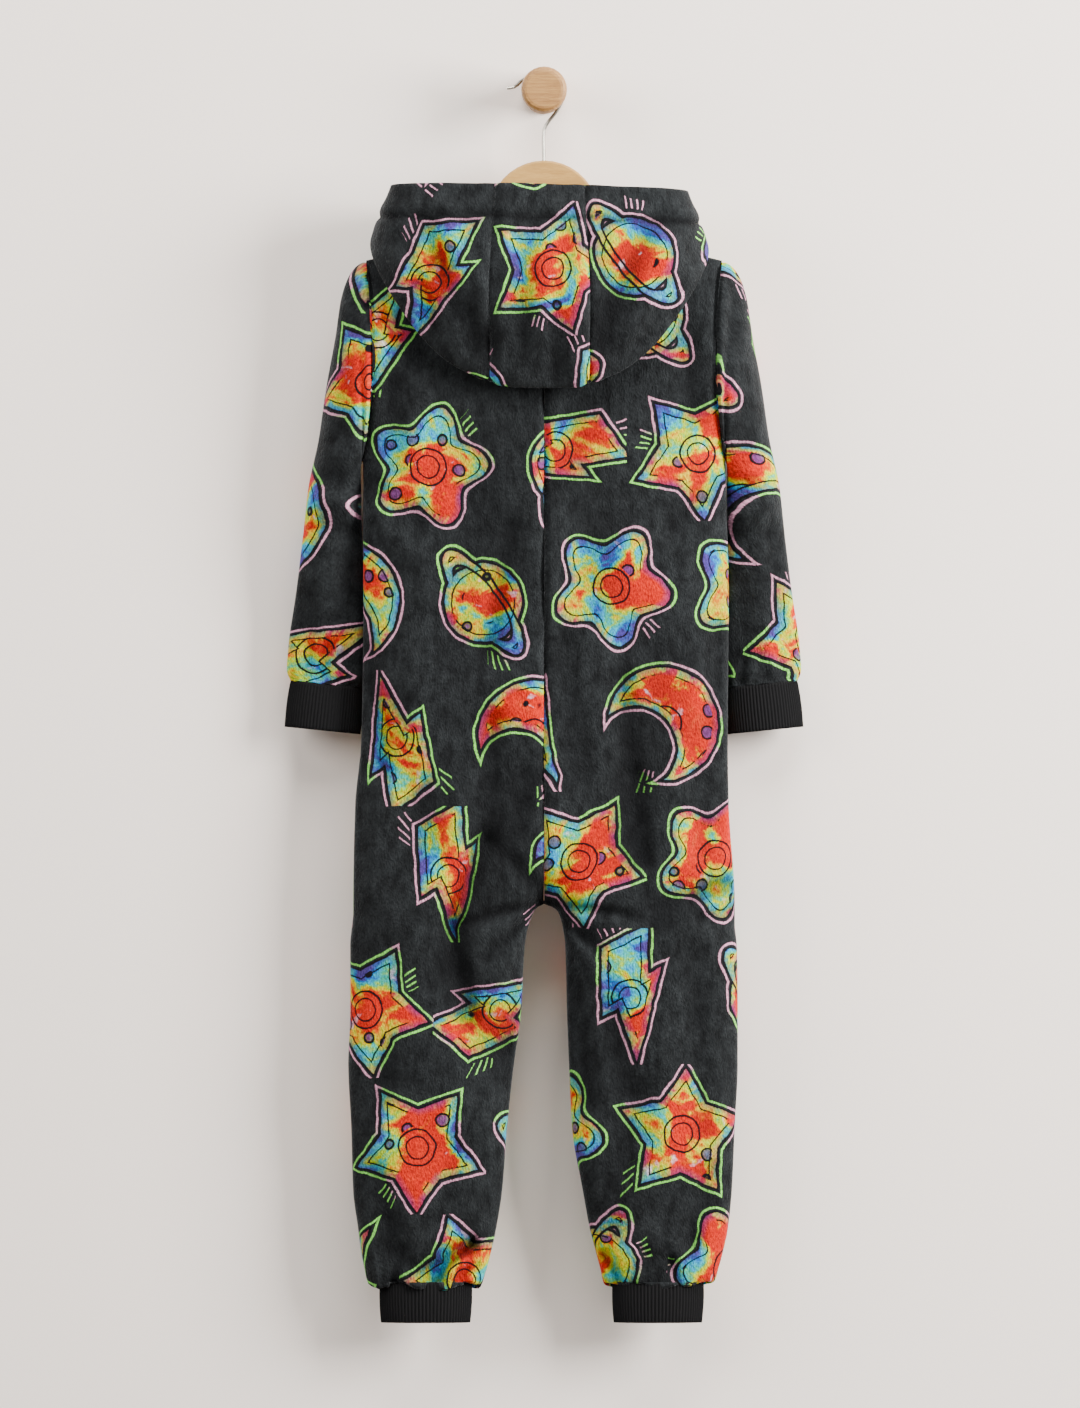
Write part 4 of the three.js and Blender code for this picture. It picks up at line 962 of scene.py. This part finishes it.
def noise_node(vector, scale, detail=2.0, roughness=0.5, distortion=0.0):
    node = new_node("TexNoise")
    set_inputs(node, {
        "Vector": vector, "Scale": scale, "Detail": detail, "Roughness": roughness, "Distortion": distortion,
    })
    return node


def noise(*settings):
    return Field(noise_node(*settings).outputs[0])


def combine(x, y, z):
    node = new_node("CombineXYZ")
    set_inputs(node, {0: x, 1: y, 2: z})
    return node.outputs[0]


def separate(vector):
    node = new_node("SeparateXYZ")
    connect(vector, node.inputs[0])
    return [Field(out) for out in node.outputs]


def colour_mix(factor, a, b):
    node = new_node("Mix")
    node.data_type = "RGBA"
    set_inputs(node, {0: factor, 6: a, 7: b})
    return node.outputs[2]


def colour_ramp(factor, stops):
    node = new_node("ValToRGB")
    connect(factor, node.inputs[0])
    elements = node.color_ramp.elements
    for element, (place, colour) in ((elements[0], stops[0]), (elements[1], stops[-1])):
        element.position = place
        element.color = colour + (1.0,)
    for place, colour in stops[1:-1]:
        elements.new(place).color = colour + (1.0,)
    return node.outputs[0]


def bump(height, distance):
    node = new_node("Bump")
    set_inputs(node, {"Height": height, "Distance": distance, "Strength": 1.0})
    return node.outputs[0]


def cloth_place():
    """Coordinates on the uncut cloth, in metres."""
    node = new_node("UVMap")
    node.uv_map = "cloth"
    return node.outputs[0]


def mesh_value(name):
    """A number that the mesh holds for each of its points."""
    node = new_node("Attribute")
    node.attribute_name = name
    return Field(node.outputs["Fac"])


def length(x, y):
    return (x * x + y * y).apply("SQRT")


# The print. Colours of its ground, lines, lights and drops, and the washes from the edge inwards
CHARCOAL = (0.0125, 0.0143, 0.0152)
GROUND_CONTRAST = (0.55, 1.75)
LINE_BLACK = (0.006, 0.005, 0.007)
OUTLINE_PINK = (0.7, 0.33, 0.47)
OUTLINE_LIME = (0.24, 0.72, 0.12)
HIGHLIGHT = (0.9, 0.7, 0.82)
DROP_VIOLET = (0.09, 0.05, 0.2)
NAP_SHADOW = (0.002, 0.002, 0.003)
# Painted shade for the troughs of folds and the hood's hem groove
CREASE_SHADOW = (0.0015, 0.0015, 0.002)
RAINBOW = [
    (0.0, (0.05, 0.02, 0.14)),
    (0.32, (0.07, 0.05, 0.3)),
    (0.36, (0.015, 0.13, 0.5)),
    (0.395, (0.02, 0.42, 0.66)),
    (0.44, (0.05, 0.52, 0.3)),
    (0.475, (0.42, 0.62, 0.01)),
    (0.512, (0.78, 0.55, 0.006)),
    (0.55, (0.68, 0.075, 0.002)),
    (0.585, (0.6, 0.013, 0.004)),
    (0.72, (0.66, 0.024, 0.006)),
    (1.0, (0.88, 0.22, 0.06)),
]
# Spacing of the motifs, in metres, and their size against the shapes below, which are in millimetres
CELL = (0.142, 0.136)
MOTIF_SCALE = 1.22
# Shift of each row of motifs against the one below, as a share of the spacing, and each one's own shift
ROW_SHIFT = 0.38
MOTIF_SHIFT = 3
# How far a line trembles and wanders, in metres
TREMBLE = 0.0012
WANDER = 0.004
# Lines in millimetres: half width and blur of the thick, the outer and the fine ones
EDGE_LINE = (0.85, 0.6)
OUTER_LINE = (0.85, 0.5)
FINE_LINE = (0.65, 0.5)
RING_LINE = (1.1, 0.7)
OUTER_LINE_PLACE = 2.9
FINE_LINE_PLACE = -6.5
# Distance from the edge at which a wash is reddest, and how much small dabs vary it
REDDEST_DEPTH = 26.0
DAB_STRENGTH = 0.1
# Rings round the motif's middle: radius and line. No drop lies inside DROP_FREE.
BOSSES = ((15, (0.85, 0.5)), (9, (0.7, 0.5)))
DROP_FREE = 17.0


def star_distance(x, y, tip=48, notch=28, rounding=4):
    """Distance from a five-pointed star's edge, below 0 inside."""
    fifth = 2 * math.pi / 5
    turn = x.angle_to(y)
    sector = ((turn + math.pi + fifth / 2).modulo(fifth) - fifth / 2).abs()
    radius = length(x, y)
    edge_x = notch * math.cos(fifth / 2) - tip
    edge_y = notch * math.sin(fifth / 2)
    edge = math.hypot(edge_x, edge_y)
    across = radius * sector.sin() * (-edge_x / edge)
    return (radius * sector.cos() - tip) * (edge_y / edge) + across - rounding


def planet_distance(x, y, radius=33, ring_radius=45, ring_half_width=7.5, squash=3.1):
    """Distance from the edge of a disc with a flat ring, and from the ring's own edge."""
    tall = y * squash
    reach = length(x, tall)
    slope = length(x, tall * squash) / reach
    ring = ((reach - ring_radius).abs() - ring_half_width) / slope
    return (length(x, y) - radius).min(ring), ring


def bolt_distance(x, y):
    """Distance from the edge of a bolt: a leaning bar on a leaning wedge."""
    upper = ((x - y * 0.5 + 5).abs() * 0.9 - 20).max((y - 22).abs() - 26)
    up = y + 52
    lower = ((x + 20 - up * 0.5).abs() - up * 0.38) * 0.84
    return upper.min(lower.max(y - 12))


def moon_distance(x, y, radius=47, bite=(29, 9, 34)):
    """Distance from the edge of a disc that lacks a bite, given by its place and radius."""
    bite_x, bite_y, bite_radius = bite
    bitten = length(x - bite_x, y - bite_y) * -1 + bite_radius
    return (length(x, y) - radius).max(bitten)


def flower_distance(x, y, radius=42, petal=8):
    """Distance from the edge of a flower with five round petals."""
    turn = x.angle_to(y)
    return (length(x, y) - (turn * 5).cos() * petal - radius) * 0.85


def drawn_place(seed):
    """The place on the cloth, moved a little as a hand would, and the slow noise that moves it."""
    place = cloth_place()
    hand = noise_node(place, 60.0, 1.0)
    u, v, _ = separate(place)
    for node, size in ((noise_node(place, 900.0, 1.0), TREMBLE), (hand, WANDER)):
        du, dv, _ = separate(node.outputs["Color"])
        u = u + (du - 0.5) * size
        v = v + (dv - 0.5) * size
    return place, u + 0.37 * seed, v + 5.11 + 0.53 * seed, Field(hand.outputs[0])


def motif_place(u, v, seed):
    """Turned coordinates inside a cell of the print, in millimetres, and the cell's random numbers."""
    row = (v / CELL[1]).floor()
    across = u / CELL[0] + row * ROW_SHIFT + 40
    column = across.floor()
    white = new_node("TexWhiteNoise")
    white.noise_dimensions = "3D"
    connect(combine(column, row, float(seed)), white.inputs["Vector"])
    spin, kind, nudge = separate(white.outputs["Color"])
    width, height = (size / MM / MOTIF_SCALE for size in CELL)
    cell_x = (across - column - 0.5) * width + (nudge - 0.5) * MOTIF_SHIFT
    cell_y = (v / CELL[1] - row - 0.5) * height + (spin - 0.5) * MOTIF_SHIFT
    turn = spin * (2 * math.pi)
    x = cell_x * turn.cos() - cell_y * turn.sin()
    y = cell_x * turn.sin() + cell_y * turn.cos()
    return x, y, spin, kind


def motif_shape(x, y, kind):
    """Distance from the edge of the cell's motif, distance from a planet's ring, and 1 on planets."""
    planet, ring = planet_distance(x, y)
    shapes = [star_distance(x, y), planet, bolt_distance(x, y), moon_distance(x, y), flower_distance(x, y)]
    pick = (kind * len(shapes) * 0.999).floor()
    chosen = [shape * pick.is_number(index) for index, shape in enumerate(shapes)]
    return sum(chosen[1:], chosen[0]), ring, pick.is_number(shapes.index(planet))


def motif_fill(u, v, distance, wash, hand, seed):
    """Rainbow washes that turn violet at the edge, with a few pale lights."""
    dab = noise(combine(u, v, 5.0), 170.0, 2.0, 0.6)
    # Blue and green lie near the edge, and red further in
    depth_in = (distance * -1).min(REDDEST_DEPTH)
    fill = colour_ramp(wash + depth_in * 0.0052 - 0.05 + (dab - 0.5) * DAB_STRENGTH, RAINBOW)
    shine = noise(combine(u, v, 4.0 + seed), 42.0, 3.0, 0.6, 0.4)
    fill = colour_mix(shine.rise(0.64, 9.0), fill, HIGHLIGHT)
    shade = (distance + 7).apply("DIVIDE", 8.0, clamp=True) * hand * 1.5
    return colour_mix(shade, fill, DROP_VIOLET)


def drops(u, v, distance, radius):
    """Small round drops inside a motif, and the lines round them."""
    node = new_node("TexVoronoi")
    set_inputs(node, {"Vector": combine(u, v, 0.0), "Scale": 38.0, "Randomness": 0.6})
    ball = Field(node.outputs["Distance"])
    allowed = distance.below(-5.0) * radius.above(DROP_FREE)
    return ball.soft_below(0.2, 0.04) * allowed, (ball - 0.235).stroke(0.04, 0.03) * allowed


def dark_lines(distance, radius, wash, ring, is_planet, y, inside):
    """A motif's edge, the line inside it, the rings round its middle, and half of a planet's ring."""
    lines = (distance + 0.2).stroke(*EDGE_LINE)
    lines = lines.max((distance - FINE_LINE_PLACE).stroke(*FINE_LINE) * wash.soft_below(0.58, 0.02))
    for place, line in BOSSES:
        free = distance.below(-6.0) * (is_planet * -1 + 1)
        lines = lines.max((radius - place).stroke(*line) * free)
    return lines.max(ring.stroke(*RING_LINE) * is_planet * y.below(0.0) * inside)


def outer_line(x, y, distance, radius, kind):
    """The pink or green line round a motif, and a few short rays at one side of it."""
    polar = x.angle_to(y)
    ray_turn = ((polar + math.pi).modulo(0.1) - 0.05).sin() * radius
    one_side = (polar - (kind * 4 - 2)).abs().below(0.17) * radius.above(40.0)
    rays = ray_turn.stroke(0.6, 0.5) * distance.above(6.0) * distance.below(15.0) * one_side
    return (distance - OUTER_LINE_PLACE).stroke(*OUTER_LINE).max(rays)


def fleece_material(name, seed):
    """Charcoal plush with a generic print of stars, planets, bolts, moons and flowers in rainbow washes, and
    painted shade in its creases.
    """
    material, shader = new_material(name)
    place, u, v, hand = drawn_place(seed)
    x, y, spin, kind = motif_place(u, v, seed)
    radius = length(x, y)
    distance, ring, is_planet = motif_shape(x, y, kind)
    inside = distance.soft_below(0.0, 1.0)
    wash = noise(combine(u, v, spin * 3), 21.0, 4.0, 0.55, 0.6)
    fill = motif_fill(u, v, distance, wash, hand, seed)
    drop, drop_line = drops(u, v, distance, radius)
    fill = colour_mix(drop * 0.85, fill, DROP_VIOLET)
    lines = drop_line.max(dark_lines(distance, radius, wash, ring, is_planet, y, inside))
    pink_or_lime = noise(combine(u, v, 9.0), 9.0, 0.0).rise(0.5, 60.0)

    nap = noise(combine(u, v * 0.45, 2.0), 620.0, 2.0, 0.6)
    patch = noise(combine(u, v * 0.5, 7.0), 95.0, 3.0, 0.65)
    dark, light = (tuple(share * part for part in CHARCOAL) for share in GROUND_CONTRAST)
    printed = mesh_value("printed")
    colour = colour_mix(patch.rise(0.34, 3.0), dark, light)
    outline = outer_line(x, y, distance, radius, kind)
    for cover, ink in (
        (outline, colour_mix(pink_or_lime, OUTLINE_PINK, OUTLINE_LIME)), (inside, fill), (lines, LINE_BLACK),
    ):
        colour = colour_mix(cover * printed, colour, ink)
    colour = colour_mix(nap.rise(0.36, 3.4), colour_mix(0.5, colour, NAP_SHADOW), colour)
    # Painted shade darkens the pile in the troughs of folds and in the hood's hem groove
    set_inputs(shader, {
        "Base Color": colour_mix(mesh_value("painted_crease_shade") * 0.7, colour, CREASE_SHADOW),
        "Normal": bump(nap + patch * 1.5, 0.0016),
        "Roughness": 0.95,
        "Specular IOR Level": 0.1,
        "Sheen Weight": 0.12,
        "Sheen Roughness": 0.32,
        "Sheen Tint": (0.75, 0.78, 0.82),
    })
    return material


def rib_material():
    material, shader = new_material("rib_knit")
    grain = noise(cloth_place(), 1400.0, 2.0, 0.6)
    set_inputs(shader, {
        "Base Color": colour_mix(grain, (0.003, 0.003, 0.0035), (0.009, 0.009, 0.0095)),
        "Normal": bump(grain, 0.0004),
        "Roughness": 0.9,
        "Specular IOR Level": 0.08,
        "Sheen Weight": 0.02,
    })
    return material


def wood_material(name, light, dark, fineness):
    """Fine grain that runs along X, with faint pores."""
    material, shader = new_material(name)
    x, y, z = separate(new_node("TexCoord").outputs["Object"])
    grain = noise(combine(x * 9, y * fineness, z * fineness), 2.0, 5.0, 0.6, 0.4)
    pores = noise(combine(x * 30, y * fineness * 3, z * fineness * 3), 4.0, 3.0, 0.6)
    set_inputs(shader, {
        "Base Color": colour_mix((grain * 0.6 + pores * 0.4).rise(0.38, 4.2), dark, light),
        "Normal": bump(pores, 0.0002),
        "Roughness": 0.55,
    })
    return material


def plain_material(name, colour, roughness, metallic=0.0):
    material, shader = new_material(name)
    set_inputs(shader, {"Base Color": colour, "Roughness": roughness, "Metallic": metallic})
    return material


def wall_material():
    """Pale paint that can't be seen through the wall's back."""
    material, shader = new_material("wall_paint")
    set_inputs(shader, {"Base Color": (0.9, 0.815, 0.75), "Roughness": 0.9})
    mix = new_node("MixShader")
    set_inputs(mix, {
        0: new_node("NewGeometry").outputs["Backfacing"],
        1: shader.outputs[0],
        2: new_node("BsdfTransparent").outputs[0],
    })
    connect(mix.outputs[0], material.node_tree.nodes["Material Output"].inputs[0])
    return material


# Build the cloth

def fleece_piece(node, seed, grids, around=False, rows_lengthwise=False):
    """A piece of printed fleece: its shell and its print. Its size and area on the uncut cloth are worked
    out, but nothing uses them.
    """
    outer, inner, flat, folds = grids
    piece = cloth_object(node + "_cloth", outer, inner, flat, folds, around)
    grid = closed(outer) if around else outer
    area = grid_area(grid)
    size = (longest_row(grid), longest_row(turned(grid)))
    if around:
        size = (size[0], max(float(np.ptp(flat[..., 1])), area / MM ** 2 / size[0] * 1.01))
    if rows_lengthwise:
        size = size[::-1]
    dress(piece, node, fleece_material("fleece_" + node, seed))


def build_body():
    """The body panels and sleeves. Returns the edge of a front panel beside the zip."""
    panels = {"back_left": (-1, -1), "back_right": (1, -1), "front_left": (-1, 1), "front_right": (1, 1)}
    for seed, (node, place) in enumerate(panels.items(), start=3):
        grids = body_panel(*place)
        fleece_piece(node, seed, grids)
    edge = grids[0][:, 0]
    for seed, side, word in ((9, -1, "left"), (10, 1, "right")):
        fleece_piece("sleeve_" + word, seed, sleeve(side), around=True)
    return edge[edge[:, 2] >= ZIP_END_Z]


def build_hood():
    outer, inner, painted_shade_depths, cuts = whole_hood()
    for number, word in enumerate(("left", "centre", "right")):
        first, last = cuts[number:number + 2]
        grids = hood_piece(outer, inner, first, last) + (painted_shade_depths[first:last + 1],)
        fleece_piece("hood_" + word, 13 + number, grids, rows_lengthwise=True)


def build_cuffs():
    material = rib_material()
    hem = dict(zip(OUTLINE_COLUMNS, OUTLINE[-1]))
    out_x, out_z, in_x, in_z, wrist_depth, wrist_y, _ = SLEEVE_STATIONS[-1]
    for side, word in ((-1, "left"), (1, "right")):
        sleeve_end = np.array([(side * out_x, wrist_y, out_z), (side * in_x, wrist_y, in_z)])
        leg_end = np.array([(side * hem[key], BODY_Y, HEM_Z) for key in (word, word + "_in")])
        if side < 0:
            leg_end = leg_end[::-1]
        cuff("cuff_wrist_" + word, WRIST_CUFF, sleeve_end, wrist_depth, material)
        cuff("cuff_ankle_" + word, ANKLE_CUFF, leg_end, hem["depth"], material)


def box_mesh(points, faces, centre, size):
    """Adds a box's corners and faces to two lists."""
    start = len(points)
    for dz in (-0.5, 0.5):
        for dx, dy in ((-0.5, -0.5), (0.5, -0.5), (0.5, 0.5), (-0.5, 0.5)):
            points.append([(c + d * s) * MM for c, d, s in zip(centre, (dx, dy, dz), size)])
    faces.extend([start + k for k in face] for face in (
        (3, 2, 1, 0), (4, 5, 6, 7), (0, 1, 5, 4), (1, 2, 6, 5), (2, 3, 7, 6), (3, 0, 4, 7),
    ))


def build_teeth(edge):
    """Two rows of moulded teeth on the zip's tape."""
    points = []
    faces = []
    for k in range(int((edge[0, 2] - ZIP_END_Z - TOOTH_FREE_END) / TOOTH_PITCH)):
        z = ZIP_END_Z + TOOTH_START + k * TOOTH_PITCH
        y = float(np.interp(z, edge[::-1, 2], edge[::-1, 1]))
        side = 1 if k % 2 else -1
        box_mesh(points, faces, (side * TOOTH_OFFSET, y + TOOTH_STAND, z), TOOTH_SIZE)
    mesh = bpy.data.meshes.new("zip_teeth")
    mesh.from_pydata(points, [], faces)
    mesh.materials.append(plain_material("zip_teeth", (0.02, 0.02, 0.022), 0.4))
    teeth = bpy.data.objects.new("zip_teeth", mesh)
    bpy.context.scene.collection.objects.link(teeth)
    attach(teeth, "garment")
    return teeth


def build_zip(edge):
    """The tape between the front panels, with its teeth."""
    half = ZIP_HALF_WIDTH - HALF_GAP
    outer = np.repeat(edge[:, None, :], TAPE_COLUMNS, axis=1)
    outer[..., 0] = np.linspace(-half, half, TAPE_COLUMNS)
    tape = cloth_object("zip_tape", outer, outer - np.array([0, ZIP_THICKNESS, 0]), outer[..., [0, 2]])
    material = plain_material("zip_tape", (0.015, 0.016, 0.018), 0.85)
    size = (2 * half, longest_row(turned(outer)))
    teeth = build_teeth(edge)
    dress(tape, "zip", material)


zip_edge = build_body()
build_hood()
build_cuffs()
build_zip(zip_edge)

# Finishes of the CAD pieces that stay
SATIN = (0.5, 0.5, 0.51)
FINISHES = {
    "hanger": wood_material("hanger_wood", (0.455, 0.258, 0.068), (0.36, 0.19, 0.044), 60),
    "wall_peg": wood_material("peg_wood", (0.39, 0.208, 0.06), (0.2, 0.085, 0.022), 210),
    "hanger_hook": plain_material("hook_wire", (0.3, 0.285, 0.25), 0.28, 1.0),
    "zip_slider": plain_material("zip_slider", SATIN, 0.35, 1.0),
    "zip_pull": plain_material("zip_pull", SATIN, 0.35, 1.0),
}
for node, finish in FINISHES.items():
    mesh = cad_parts[node].data
    mesh.materials.clear()
    mesh.materials.append(finish)


# Stage: a pale wall seen only from the front, a floor far below, soft light from the right

def stage_plane(name, size, place, turn, material):
    bpy.ops.mesh.primitive_plane_add(size=size, location=place, rotation=turn)
    plane = bpy.context.object
    plane.name = name
    plane.data.materials.append(material)
    return plane


def area_light(name, place, size, power, colour):
    light = bpy.data.lights.new(name, "AREA")
    light.shape = "RECTANGLE"
    light.size, light.size_y = size
    light.energy = power
    light.color = colour
    obj = bpy.data.objects.new(name, light)
    obj.location = place
    obj.rotation_euler = (Vector(LIGHT_TARGET) - Vector(place)).to_track_quat("-Z", "Y").to_euler()
    bpy.context.scene.collection.objects.link(obj)


WALL_BEHIND = 0.0006
wall = stage_plane("wall", 8, (0, WALL_BEHIND, -0.6), (math.radians(90), 0, 0), wall_material())
wall.visible_shadow = False
stage_plane("floor", 12, (0, 0, -2.0), (0, 0, 0), plain_material("floor_paint", (0.16, 0.155, 0.15), 0.8))

LIGHT_TARGET = (0, -0.05, -0.6)
# Name, place, size, power in watts and colour
for light in (
    ("key", (3.0, -1.7, 0.4), (1.5, 2.0), 460, (1.0, 0.98, 0.955)),
    ("left", (-2.8, -1.8, 0.8), (2.0, 2.0), 125, (1.0, 0.98, 0.96)),
    ("top", (0.3, -1.8, 2.8), (2.4, 1.6), 190, (1.0, 0.98, 0.96)),
    ("front_side", (-1.8, 3.2, 0.4), (2.2, 2.2), 75, (1.0, 1.0, 1.0)),
    ("front_fill", (2.4, 2.6, -0.4), (2.0, 2.0), 40, (1.0, 1.0, 1.0)),
):
    area_light(*light)

world = bpy.data.worlds.new("studio")
world.use_nodes = True
world.node_tree.nodes["Background"].inputs[0].default_value = (1.0, 0.985, 0.965, 1.0)
world.node_tree.nodes["Background"].inputs[1].default_value = 0.16
bpy.context.scene.world = world

# Camera: straight on, one millimetre to a pixel at the garment
PHOTO_HEIGHT = 1.408
CAMERA_DISTANCE = 12.0
GARMENT_PLANE = -0.06
camera_data = bpy.data.cameras.new("camera")
camera_data.sensor_fit = "VERTICAL"
camera_data.sensor_height = 24
camera_data.lens = camera_data.sensor_height * CAMERA_DISTANCE / PHOTO_HEIGHT
camera = bpy.data.objects.new("camera", camera_data)
camera.location = (-0.004, GARMENT_PLANE - CAMERA_DISTANCE, -0.614)
camera.rotation_euler = (math.radians(90), 0, 0)
bpy.context.scene.collection.objects.link(camera)
bpy.context.scene.camera = camera
